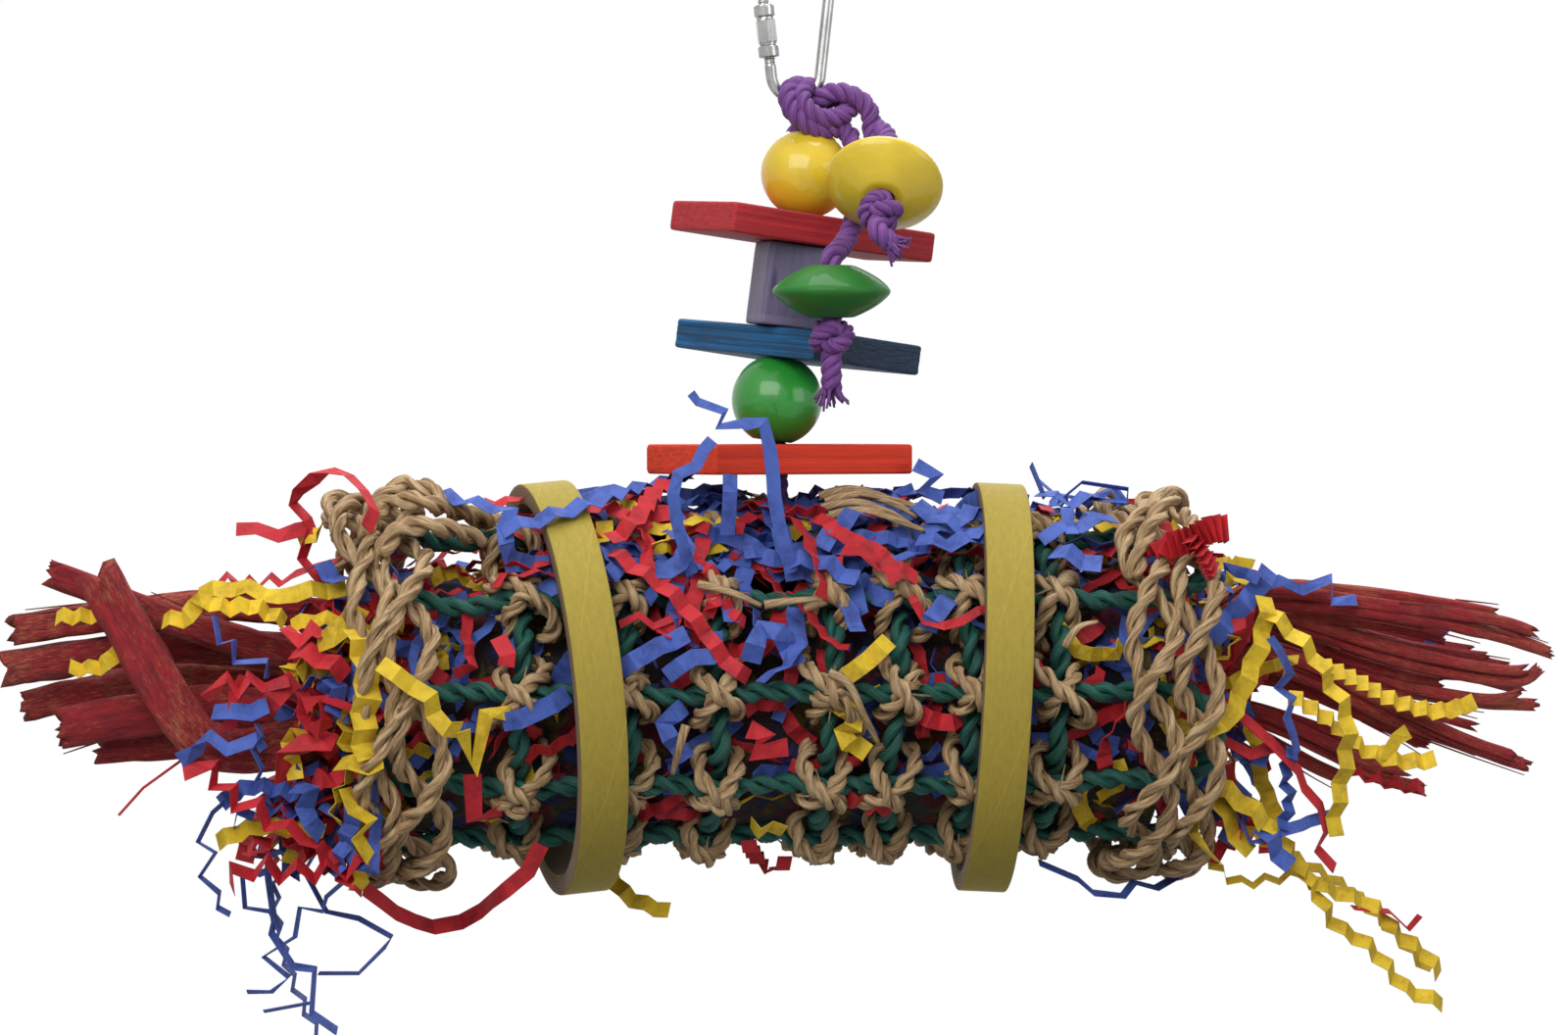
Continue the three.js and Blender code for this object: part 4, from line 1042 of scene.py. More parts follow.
def add_warps(green, rng):
    """Each warp is a loop: two runs along the tube, with a bend at each end."""
    bend = WARP_R * RUN_ANGLE / 2
    straight = TUBE_LENGTH / 2 - bend - CORD_D / 2
    for i in range(WARP_COUNT):
        middle = RUN_ANGLE * (2 * i + 1)
        points = []
        for end in (1, -1):
            side = end * RUN_ANGLE / 2
            for a in np.linspace(-math.pi / 2, math.pi / 2, 9):
                points.append((end * (straight + bend * math.cos(a)), middle + side * math.sin(a)))
            for share in np.linspace(0, 1, 41)[1:-1]:
                points.append((end * straight * (1 - 2 * share), middle + side))
        x, angle = np.array(points).T
        near = np.abs(x[:, None] - np.array(HOOP_X)).min(1)
        free = 1 - np.exp(-(near / WARP_EASE) ** 2)
        dip = WARP_DIP * free * (np.abs(x) < straight)
        stray = WARP_STRAY * smooth_noise(rng, len(x), 7) * free
        path = around_tube(x, WARP_R - dip, angle + stray / WARP_R)
        warp = Build()
        warp.twist(along_path(path, CORD_STEP, True), **GREEN_CORD, closed=True, rng=rng)
        warp.piece(f"warp_{i + 1}", green, "tube", "green_cord", f"warp_cord_{i + 1}")


def add_bands(natural, rng):
    turn = circle(260)
    for side, (slant, pairs) in BANDS.items():
        for layer, middle, swing, start in pairs:
            band = Build()
            drift = middle - slant * np.cos(turn) + BAND_WANDER * smooth_noise(rng, len(turn), 35)
            for strand in (0, np.pi):
                phase = BAND_TURNS * turn + start + strand + BAND_SLIP * smooth_noise(rng, len(turn), 45)
                path = around_tube(drift + swing * np.cos(phase), BAND_R + BAND_RISE * np.sin(phase), turn)
                band.twist(along_path(path, CORD_STEP, True), **BAND_CORD, closed=True, rng=rng)
            band.piece(f"band_{side}_{layer}", natural, "tube", "natural_cord", f"end_band_{side}_{layer}")


def add_wraps(natural, rng):
    wraps = Build()
    for run in WRAPS:
        wraps.twist(along_path([on_front(*p) for p in run], CORD_STEP), **WRAP_CORD, rng=rng)
    for run in STRAWS:
        path = along_path([on_front(*p) for p in run], 1.5)
        normals = carried_normals(path, first=(0, 0.2, 1))
        wraps.tube(path, normals, np.linspace(*STRAW_R, len(path)), 6, flat=STRAW_FLAT)
    wraps.piece("end_wraps", natural, "tube", "natural_cord")


def add_weave(green, natural):
    rng = np.random.default_rng(SEED + 3)
    add_hoops(green, natural, rng)
    add_warps(green, rng)
    add_bands(natural, rng)
    add_wraps(natural, rng)


def add_rings(paints):
    half, outer, middle = RING_WIDTH / 2, RING_INNER_R + RING_WALL, RING_INNER_R + RING_WALL / 2
    ease, end_facing, near_bore = 0.45, 0.8, 0.2
    upper = [(outer, half / 2), (outer, half - ease), (outer - ease * 0.3, half - ease * 0.3),
             (outer - ease, half), (middle, half), (RING_INNER_R + ease, half), (RING_INNER_R, half - ease)]
    profile = mirrored(upper, [(outer, 0)]) + [(RING_INNER_R, 0)]
    for name, (after, yaw, lean, sag) in RINGS.items():
        at = Vector((TUBE_X + (HOOP_X[after] + HOOP_X[after + 1]) / 2, 0, TUBE_Z - sag))
        matrix = placed(at, ("Z", math.radians(yaw)), ("Y", math.radians(lean)), ("Y", math.pi / 2))
        piece = turned(name + "_card", profile, 160, paints[name], matrix)
        piece.data.materials.append(paints["card_edge"])
        for face in piece.data.polygons:
            radius = math.hypot(face.center.x, face.center.y) / MM
            face.material_index = int(abs(face.normal.z) > end_facing or radius < RING_INNER_R + near_bore)
        dress(piece, name, "card", name)


# Paper strips by rule. Chances are those of each colour; arcs go round from the tube's top towards its front
COLOURS = ("red", "blue", "yellow")
ROUND, FRONT, LOW_FRONT = (0, FULL_TURN), (0.15 * np.pi, 0.85 * np.pi), (0.52 * np.pi, 0.9 * np.pi)
MIXED, BRIGHT, MOST_BLUE = (0.44, 0.40, 0.16), (0.34, 0.57, 0.09), (0.2, 0.7, 0.1)
NARROW = (2.6, 4.8)
CORE_END, CORE_R, CORE_LOW = 108, 30, 10

# Strips strewn over the tube: count, span along it, arc, radii, chances, widths and number of points
STREWN = (
    (290, (-106, 106), ROUND, (28, 36), MIXED, NARROW, (5, 11)),
    (36, (-108, -78), ROUND, (33, 41), MIXED, NARROW, (4, 9)),
    (36, (76, 108), ROUND, (33, 41), MIXED, NARROW, (4, 9)),
    (200, (-62, 46), (-0.75, 0.8), (39, 49), BRIGHT, (3.8, 5.4), (5, 12)),
    (75, (-58, 42), (-0.5, 0.6), (46, 54), BRIGHT, (4, 5.4), (5, 12)),
    (26, (72, 106), (-0.6, 0.6), (42, 52), MOST_BLUE, (3.6, 5), (4, 9)),
)
STREWN_LOW = (44, (-92, 88), LOW_FRONT, (36, 40), MIXED, (2.4, 3.8), (3, 6))
STREWN_STEP = 5

# Strips that come out of an end and hang: count, which end, chances, highest and lowest height, reach past
# the end at these heights, and arc
SPILLED = (
    (170, -1, (0.45, 0.33, 0.22), (20, -54), (10, 36), ROUND),
    (110, -1, (0.55, 0.30, 0.15), (24, -40), (20, 22), FRONT),
    (120, 1, (0.30, 0.40, 0.30), (34, -48), (18, 24), ROUND),
)
SPILLED_R, SPILLED_FROM, SPILLED_DEPTHS = 34, (96, 108), (-44, 40)

# The ways that single strips face
FACE_UP, FACE_OUT, FACE_FRONT = (0.15, -0.5, 0.85), (0.7, -0.7, 0.2), (0.1, -0.9, 0.4)
FACE_FOLDED, FACE_BENT = (0.45, -0.85, 0.5), (0.7, -0.6, 0.35)
STRIP_RISE, SLACK_FOLD, SLACK_RISE, LOW_PX = 1.25, 7, 0.2, 880

# Strips that the photograph shows singly, by colour: width, fold (0 where it only bends at the points), and
# pixels with a radius from the tube's axis
TUBE_STRIPS = {"red": (
    (4.3, 4.4, (622, 560, 52), (644, 576, 53), (682, 602, 52), (716, 640, 50), (742, 676, 49),
     (766, 692, 46)),
    (5.0, 3.6, (700, 484, 56), (672, 498, 56), (650, 528, 56), (622, 552, 53)),
    (5.0, 0, (482, 790, 47), (484, 836, 49), (512, 826, 46)),
    (4.6, 0, (508, 650, 45), (518, 668, 46), (516, 680, 45)),
    (4.6, 6.0, (860, 558, 54), (884, 566, 54), (912, 580, 53), (938, 588, 51)),
    (4.4, 9.0, (552, 862, 48), (540, 888, 53), (516, 908, 57), (480, 936, 62), (448, 946, 64),
     (410, 934, 62), (372, 906, 58)),
    (4.4, 3.4, (764, 862, 46), (776, 880, 48), (790, 890, 50), (802, 878, 48)),
    (5.4, 0, (764, 744, 44), (782, 752, 46), (770, 768, 45), (804, 762, 44)),
    (4.8, 3.6, (938, 728, 44), (962, 738, 45), (982, 732, 44)),
    (4.4, 3.0, (862, 812, 44), (884, 822, 46), (906, 826, 44)),
    (2.6, 5.0, (928, 600, 49), (936, 622, 49), (960, 640, 48), (990, 628, 49), (1016, 618, 49)),
    (2.2, 6.0, (632, 636, 47), (660, 628, 48), (672, 640, 48), (700, 622, 47)),
    (3.4, 3.2, (722, 628, 47), (736, 606, 49), (748, 628, 48), (762, 634, 47)),
), "blue": (
    (5.0, 5.0, (512, 540, 57), (556, 528, 58.5), (604, 512, 58.5), (662, 494, 56), (712, 484, 54)),
    (4.6, 5.0, (440, 500, 57), (478, 512, 58), (520, 522, 58), (512, 545, 56), (524, 572, 50)),
    (5.2, 5.0, (512, 738, 49), (545, 728, 50), (580, 708, 50)),
    (5.0, 4.6, (632, 684, 50), (664, 664, 50), (700, 648, 49)),
    (4.6, 4.2, (680, 690, 48), (712, 668, 49), (730, 672, 48), (728, 646, 47)),
    (5.2, 5.4, (780, 508, 54), (798, 548, 51), (812, 590, 48)),
    (5.4, 5.0, (838, 556, 52), (872, 524, 54), (912, 516, 54), (952, 526, 54), (1002, 548, 52)),
    (5.2, 4.6, (936, 548, 53), (968, 554, 53), (1010, 542, 52)),
    (5.4, 4.4, (800, 572, 52), (836, 572, 52.5), (858, 584, 52), (874, 592, 51)),
    (4.8, 5.0, (1060, 500, 57), (1092, 512, 55), (1130, 500, 56), (1148, 512, 54)),
    (4.8, 6.6, (1062, 548, 53), (1092, 538, 54), (1138, 526, 54)),
    (3.6, 5.0, (1086, 514, 55), (1090, 530, 55), (1094, 548, 54)),
    (6.0, 5.0, (1074, 560, 52), (1098, 568, 53), (1122, 578, 51)),
    (5.0, 3.8, (700, 720, 44), (678, 738, 46), (688, 758, 45), (700, 772, 44)),
    (5.6, 5.0, (766, 676, 44), (778, 640, 47), (800, 652, 46), (812, 678, 44)),
    (5.2, 4.0, (972, 608, 46), (952, 630, 48), (946, 644, 46)),
), "yellow": (
    (4.6, 5.2, (388, 676, 58), (420, 700, 59), (440, 712, 58), (446, 738, 57), (472, 746, 54)),
    (4.4, 0, (472, 746, 54), (484, 786, 50), (496, 728, 50), (520, 728, 48)),
    (5.0, 4.2, (864, 690, 50), (888, 672, 50), (908, 652, 50)),
    (4.6, 3.4, (602, 868, 48), (622, 892, 50), (640, 914, 54), (662, 924, 57), (682, 930, 60)),
    (5.4, 3.4, (852, 716, 45), (874, 734, 47), (860, 752, 46), (884, 766, 44)),
    (5.4, 3.6, (764, 842, 45), (780, 848, 47), (798, 844, 45)),
)}

# Strips at the tube's ends: width, fold (-1 where it is seen edge-on), and pixels with a depth
END_STRIPS = {"red": (
    (1.2, -1, (121, 832, -6), (146, 804, -5), (182, 778, -3), (196, 766, -2)),
    (4.0, -1, (220, 601, -6), (232, 586, -6), (245, 600, -6), (252, 589, -8), (263, 600, -8),
     (276, 587, -10), (286, 596, -10), (300, 586, -12), (322, 578, -18), (345, 572, -24)),
    (4.4, 0, (330, 596, -22), (308, 570, -20), (318, 540, -20), (314, 530, -20), (299, 514, -19),
     (304, 502, -20), (321, 488, -22), (338, 480, -25), (356, 485, -28), (371, 500, -32), (382, 520, -36),
     (374, 540, -40)),
    (4.2, 0, (318, 538, -20), (303, 541, -20), (284, 547, -20), (262, 539, -20), (241, 540, -19)),
    (3.6, 0, (209, 713, -34), (232, 690, -35), (243, 709, -36), (254, 690, -36), (269, 702, -36),
     (295, 694, -38)),
    (4.2, 4.6, (234, 746, -34), (240, 715, -35), (250, 690, -35)),
    (5.4, 4.6, (269, 726, -36), (285, 706, -37), (302, 692, -38)),
    (6.4, 4.6, (299, 662, -38), (329, 672, -42), (354, 688, -44)),
    (5.0, 0, (290, 640, -36), (306, 655, -38), (318, 640, -38), (330, 650, -40)),
    (6.8, 0, (288, 798, -34), (291, 770, -36), (318, 754, -38), (342, 758, -40)),
    (5.0, 0, (310, 720, -40), (330, 712, -42), (334, 735, -43), (318, 748, -42)),
    (3.6, 0, (330, 712, -43), (352, 720, -45), (372, 730, -47), (390, 733, -49)),
    (5.0, 0, (187, 788, -28), (220, 780, -30), (217, 803, -30), (239, 803, -31), (239, 825, -31),
     (265, 818, -32), (273, 844, -32), (295, 840, -33), (310, 858, -35), (327, 862, -36),
     (333, 884, -36)),
    (4.8, 4.0, (340, 866, -34), (352, 896, -34), (372, 906, -32)),
    (4.8, 0, (1250, 716, -38), (1298, 758, -38), (1325, 786, -36), (1331, 804, -36), (1347, 822, -35),
     (1354, 848, -34), (1344, 866, -33), (1362, 886, -32)),
    (4.0, 0, (1232, 746, -34), (1276, 770, -35), (1302, 760, -36)),
    (4.2, 2.8, (1376, 784, -8), (1420, 798, -8), (1455, 804, -8)),
    (2.6, -1, (1380, 926, -20), (1418, 930, -16), (1437, 948, -14), (1449, 934, -14)),
), "blue": (
    (4.6, -1, (273, 890, -16), (280, 941, -17), (277, 952, -18), (299, 986, -18), (321, 989, -17),
     (318, 1034, -16), (344, 1052, -15)),
    (3.0, -1, (247, 890, -14), (250, 926, -15), (276, 930, -16), (285, 950, -17)),
    (3.0, -1, (306, 880, -12), (333, 930, -14), (366, 937, -15), (400, 956, -15), (392, 967, -15),
     (366, 993, -15), (325, 993, -16)),
    (3.4, -1, (362, 890, -18), (333, 915, -18), (329, 930, -18), (306, 926, -18), (301, 956, -17),
     (269, 976, -16), (295, 997, -16), (277, 1012, -15), (252, 1012, -14)),
    (2.6, -1, (318, 1023, -16), (269, 1032, -14)),
    (3.2, -1, (250, 800, -24), (217, 829, -24), (202, 859, -25), (220, 870, -25), (204, 894, -25),
     (224, 911, -25), (222, 926, -24), (235, 933, -24)),
    (3.6, -1, (219, 628, -34), (224, 657, -35), (239, 653, -35), (239, 676, -36), (273, 674, -36),
     (272, 692, -36)),
    (5.0, 4.6, (217, 724, -35), (243, 728, -36), (274, 720, -37)),
    (4.6, 0, (183, 776, -28), (202, 765, -30), (213, 750, -32), (232, 765, -33), (262, 754, -34),
     (269, 765, -34)),
    (3.0, -1, (262, 738, -34), (268, 752, -35), (258, 765, -35), (268, 784, -35), (262, 796, -34)),
    (6.0, 5.0, (318, 575, -26), (332, 580, -30), (348, 596, -34)),
    (5.0, 4.4, (338, 690, -42), (346, 710, -43), (338, 728, -43)),
    (4.6, 2.8, (224, 821, -24), (245, 806, -26), (262, 802, -27), (285, 806, -28), (308, 812, -30)),
    (6.0, 4.8, (300, 800, -34), (318, 812, -36), (310, 835, -36), (330, 850, -36)),
    (5.6, 4.8, (1297, 580, -32), (1280, 604, -34), (1258, 628, -36), (1238, 652, -38)),
    (3.4, 0, (1284, 598, -33), (1306, 592, -27), (1328, 602, -24), (1359, 590, -22), (1359, 614, -22),
     (1384, 612, -20)),
    (3.4, 0, (1448, 668, 10), (1466, 650, 10), (1483, 632, 10), (1497, 624, 10)),
    (4.8, 0, (1296, 650, -36), (1306, 664, -37), (1317, 687, -37), (1304, 702, -38), (1320, 713, -38),
     (1313, 732, -38), (1320, 750, -37), (1324, 769, -36)),
    (3.8, 2.6, (1320, 764, -36), (1311, 790, -35), (1316, 816, -34), (1308, 846, -34)),
    (3.4, 0, (1306, 848, -34), (1328, 842, -33), (1336, 838, -33), (1358, 832, -32)),
    (6.6, 5.0, (1288, 842, -34), (1302, 864, -35), (1314, 884, -34)),
    (3.0, -1, (1254, 806, -32), (1261, 825, -32), (1276, 859, -32), (1289, 858, -33)),
    (3.6, -1, (1060, 880, -14), (1100, 897, -12), (1116, 911, -12), (1146, 914, -10), (1157, 900, -10),
     (1180, 906, -8), (1211, 888, -8)),
), "yellow": (
    (4.4, 2.5, (128, 621, -24), (92, 628, -24), (56, 629, -22)),
    (4.4, 2.5, (148, 652, -24), (124, 663, -24), (102, 680, -22), (72, 682, -20)),
    (4.8, 2.6, (165, 632, -28), (190, 630, -30), (206, 613, -32), (232, 620, -32), (256, 618, -32),
     (292, 634, -32)),
    (4.8, 4.4, (202, 606, -24), (232, 600, -26), (262, 602, -28), (290, 612, -30), (306, 603, -30),
     (352, 602, -28)),
    (4.4, 3.4, (296, 638, -34), (330, 632, -36), (358, 637, -38)),
    (6.0, 5.0, (321, 655, -38), (348, 646, -42), (366, 618, -44)),
    (7.6, 4.2, (364, 640, -46), (374, 680, -50), (375, 710, -52), (371, 740, -52), (374, 774, -51)),
    (5.6, 4.4, (344, 776, -46), (366, 781, -49), (392, 776, -51)),
    (5.6, 0, (352, 804, -44), (360, 826, -45), (380, 838, -45), (364, 854, -44), (378, 876, -42)),
    (4.8, 3.6, (220, 859, -20), (240, 851, -22), (264, 843, -24), (300, 846, -26), (332, 850, -28)),
    (5.0, 3.6, (303, 553, -18), (316, 546, -20), (330, 540, -24)),
    (5.2, 4.0, (1236, 574, -28), (1258, 580, -30), (1274, 594, -30)),
    (5.6, 5.0, (1292, 608, -36), (1289, 648, -38), (1276, 684, -40), (1264, 714, -42), (1252, 734, -45),
     (1226, 746, -51)),
    (5.4, 4.8, (1290, 622, -36), (1324, 650, -38), (1347, 677, -38), (1360, 703, -38), (1373, 722, -38),
     (1376, 748, -38), (1373, 780, -37), (1366, 814, -36), (1361, 852, -34)),
    (4.8, 2.6, (1350, 679, -37), (1386, 695, -29), (1410, 709, -25), (1432, 718, -24), (1460, 725, -23),
     (1480, 724, -22), (1503, 717, -20)),
    (4.8, 3.0, (1318, 710, -37), (1354, 733, -32), (1388, 762, -28), (1414, 773, -28), (1438, 777, -27),
     (1463, 775, -26)),
    (4.4, 0, (1404, 770, -28), (1418, 766, -28), (1425, 754, -28), (1437, 746, -28)),
    (6.6, 4.4, (1236, 800, -34), (1264, 815, -35), (1292, 840, -36)),
    (6.0, 5.6, (1240, 812, -32), (1259, 846, -33), (1273, 870, -32)),
    (4.8, 4.4, (1292, 838, -35), (1312, 862, -29), (1338, 898, -24), (1398, 923, -18), (1426, 953, -14),
     (1452, 972, -10), (1471, 995, -8)),
    (4.6, 4.4, (1330, 888, -26), (1348, 918, -24), (1364, 945, -22), (1392, 961, -20), (1419, 990, -18),
     (1434, 1008, -16), (1474, 1024, -14)),
)}

# Blue strips that curl up in front of the orange slat and over the top
PILE_STRIPS = {"blue": (
    (2.6, 0, (705, 401, -40), (712, 410, -40), (740, 420, -41), (733, 435, -41), (752, 433, -41),
     (770, 432, -41)),
    (3.9, 0, (758, 433, -41), (779, 431, -41), (786, 460, -41), (789, 487, -41), (790, 506, -41),
     (794, 530, -41), (800, 556, -40.5), (808, 584, -39)),
    (3.4, 0, (727, 449, -40), (718, 459, -41), (710, 476, -42), (692, 484, -43), (687, 504, -43),
     (690, 530, -42), (698, 560, -41), (706, 586, -39)),
    (4.4, 0, (934, 474, -10), (956, 486, -11), (942, 499, -11), (962, 508, -10)),
    (4.0, 0, (745, 484, -34), (745, 502, -36), (744, 520, -35), (742, 546, -33)),
    (2.2, -1, (1066, 508, -18), (1052, 474, -14), (1060, 490, -14), (1076, 504, -15), (1098, 508, -16),
     (1150, 512, -18), (1151, 499, -17), (1104, 492, -15), (1080, 512, -18)),
)}

# Strips folded wide, like a concertina: width, fold, rise, the way they face, and pixels with a depth
WIDE_FOLDS = {"red": (
    (7.4, 1.05, 1.9, FACE_OUT, (1172, 560, -37), (1196, 556, -42), (1216, 550, -44), (1236, 540, -43),
     (1252, 540, -41)),
    (5.4, 1.05, 1.6, FACE_OUT, (1214, 548, -45), (1228, 566, -45), (1238, 584, -42)),
    (6.0, 4.4, 3.0, FACE_UP, (230, 902, -30), (258, 884, -32), (300, 890, -34), (340, 884, -35),
     (368, 880, -36), (384, 856, -33)),
    (4.6, 3.4, 2.0, FACE_UP, (250, 866, -22), (290, 852, -24), (330, 872, -28), (366, 864, -32)),
), "blue": (
    (4.6, 3.0, 1.8, FACE_UP, (236, 836, -20), (270, 824, -24), (312, 830, -28), (350, 822, -34)),
), "yellow": (
    (3.4, 3.4, 1.3, FACE_UP, (1222, 862, -22), (1240, 884, -20), (1264, 900, -18), (1302, 896, -20),
     (1330, 890, -22)),
)}

# The two strips that the solids have too: colour, way they face, and route as [past the tube's end, height]
HANGING_STRIPS = {
    "left": (-1, "blue", (0.9, -0.3, 0.2), ((0.5, -30), (13, -37), (27, -52), (24, -76), (14, -98))),
    "right": (1, "yellow", (0.3, -0.6, 0.7), ((0.5, -30), (13, -37), (29, -46), (52, -60), (73, -81))),
}


def ribbon(build, points, width, fold=3.6, rise=0.8, face=None, twist=0.0, straight=False):
    """A strip of crinkled paper: folded to and fro every fold millimetres, or only at the points given."""
    half, thick = width / 2, 0.11
    path = array(points) if straight else along_path(points, fold)
    along = tangents(path)
    if face is None:
        face = path - np.array([0, 0, TUBE_Z])
        face[:, 0] = 0
    face = np.broadcast_to(np.asarray(face, float), path.shape)
    normal = unit(face - along * (face * along).sum(1, keepdims=True) + 1e-6)
    across = np.cross(along, normal)
    angle = np.linspace(0, twist, len(path))[:, None]
    cos, sin = np.cos(angle), np.sin(angle)
    normal, across = normal * cos + across * sin, across * cos - normal * sin
    if not straight:
        path = path + normal * np.where(np.arange(len(path)) % 2, rise, -rise)[:, None]
    ring = np.stack([across * half + normal * thick, -across * half + normal * thick,
                     -across * half - normal * thick, across * half - normal * thick], 1)
    first, last = (np.repeat(path[[k], None], 4, 1) for k in (0, -1))
    rings = np.concatenate([first, path[:, None] + ring, last])
    build.grid(rings, np.arange(len(rings)) * fold)


def edge_on(points):
    """Face directions that turn a strip nearly edge-on to the front."""
    return unit(np.cross(tangents(array(points)), (0, 1, 0))) + np.array([0, -0.45, 0])


def drawn(rng, builds, chances):
    """The build of a colour drawn by its chance."""
    return builds[COLOURS[rng.choice(3, p=chances)]]


def strewn(rng, builds, count, across, arc, radii, chances, widths, length):
    """Strips that wander over the tube between two radii."""
    for _ in range(count):
        x, a, r = rng.uniform(*across), rng.uniform(*arc), rng.uniform(*radii)
        heading = rng.uniform(0, FULL_TURN)
        points = []
        for _ in range(rng.integers(*length)):
            points.append(around_tube(np.float64(x), r, a))
            x = float(np.clip(x + STREWN_STEP * math.cos(heading), -CORE_END, CORE_END))
            a += STREWN_STEP * math.sin(heading) / r
            r = float(np.clip(r + rng.normal() * 1.3, *radii))
            heading += rng.normal() * 0.45
        build = drawn(rng, builds, chances)
        face = np.array(points[0]) - (points[0][0], 0, TUBE_Z) + rng.normal(size=3) * 14
        width, fold, rise = rng.uniform(*widths), rng.uniform(2.4, 4.6), rng.uniform(0.35, 1.1)
        ribbon(build, points, width, fold, rise, face, rng.normal() * 0.8)


def crimped(rng, build, points, face):
    """One strip, tightly or loosely folded."""
    tight = rng.uniform() < 0.6
    fold = rng.uniform(2.6, 3.4) if tight else rng.uniform(4, 8)
    rise = rng.uniform(1.0, 1.6) if tight else rng.uniform(0.5, 1.3)
    ribbon(build, points, rng.uniform(3, 5.2), fold, rise, face, rng.normal() * 1.2)


def spilled(rng, builds, count, sign, chances, heights, reach, arc):
    """Strips that come out of one end of the tube and hang."""
    top, bottom = heights
    for _ in range(count):
        r, a = SPILLED_R * math.sqrt(rng.uniform(0.05, 1)), rng.uniform(*arc)
        start = around_tube(np.float64(sign * rng.uniform(*SPILLED_FROM)), r, a)
        z = rng.uniform(bottom, top)
        out = TUBE_LENGTH / 2 + rng.uniform(-6, np.interp(z, [bottom, top], [reach[1], reach[0]]))
        depth = np.clip(start[1] * 1.1 + rng.normal() * 7, *SPILLED_DEPTHS)
        end = np.array([TUBE_X + sign * out, depth, TUBE_Z + z])
        middle = start * 0.45 + end * 0.55 + (sign * rng.uniform(0, 8), rng.normal() * 4, rng.uniform(-2, 9))
        bend = start * 0.15 + end * 0.85 + (sign * rng.normal() * 5, rng.normal() * 4, rng.normal() * 6)
        build = drawn(rng, builds, chances)
        crimped(rng, build, [start, middle, bend, end], rng.normal(size=3) + (0, -0.6, 0.4))


def add_core(material):
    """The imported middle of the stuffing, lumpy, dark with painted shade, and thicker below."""
    rng = np.random.default_rng(SEED + 4)
    x = np.linspace(-CORE_END, CORE_END, 110)
    turn = circle(72)
    lumps = sum(np.cos(rng.uniform(0.02, 0.25) * x[:, None] + rng.integers(1, 14) * turn + rng.uniform(0, 6))
                for _ in range(14)) * 0.32
    rounded = np.minimum(1, (CORE_END + 1.5 - np.abs(x)) / 7)[:, None] ** 0.5
    low = np.maximum(0, -np.cos(turn)) ** 2
    rings = around_tube(x[:, None], (CORE_R + CORE_LOW * low + lumps) * rounded, -turn)
    tip = CORE_END + 0.5
    first, last = (around_tube(np.full((1, 1), end), 0.01, -turn) for end in (-tip, tip))
    build = Build()
    build.grid(np.concatenate([first, rings, last]), np.arange(len(x) + 2))
    build.piece("stuffing_core", material, "tube", "paper", "paper_stuffing")


def add_single_strips(builds):
    for strips, place, folded, bent in ((TUBE_STRIPS, on_front, None, None),
                                        (END_STRIPS, photo_point, FACE_FOLDED, FACE_BENT),
                                        (PILE_STRIPS, photo_point, FACE_FRONT, FACE_FRONT)):
        for colour, rows in strips.items():
            for width, fold, *pixels in rows:
                points = [place(*p) for p in pixels]
                if fold > 0:
                    hangs = place is on_front and pixels[-1][1] > LOW_PX
                    rise = SLACK_RISE if fold > SLACK_FOLD else STRIP_RISE
                    ribbon(builds[colour], points, width, fold, rise, FACE_FRONT if hangs else folded)
                else:
                    face = edge_on(points) if fold else bent
                    ribbon(builds[colour], points, width, face=face, straight=True)
    for colour, rows in WIDE_FOLDS.items():
        for width, fold, rise, face, *pixels in rows:
            ribbon(builds[colour], [photo_point(*p) for p in pixels], width, fold, rise, face)


def add_paper(paints):
    rng = np.random.default_rng(SEED + 5)
    builds = {colour: Build() for colour in COLOURS}
    for row in STREWN:
        strewn(rng, builds, *row)
    for row in SPILLED:
        spilled(rng, builds, *row)
    strewn(rng, builds, *STREWN_LOW)
    add_single_strips(builds)
    slots = {"red": "paper", "blue": "blue_paper", "yellow": "yellow_paper"}
    for colour, build in builds.items():
        build.piece(f"paper_{colour}", paints[colour], "tube", slots[colour], smooth=False)
    end = TUBE_LENGTH / 2 - CORD_D
    for side, (sign, colour, face, route) in HANGING_STRIPS.items():
        strip = Build()
        points = [(TUBE_X + sign * (end + out), 0, TUBE_Z + z) for out, z in route]
        ribbon(strip, points, 4.2, 3.6, 1.1, face)
        strip.piece(f"hanging_strip_{side}", paints[colour], "tube", slots[colour], f"paper_strip_{side}",
                    smooth=False)


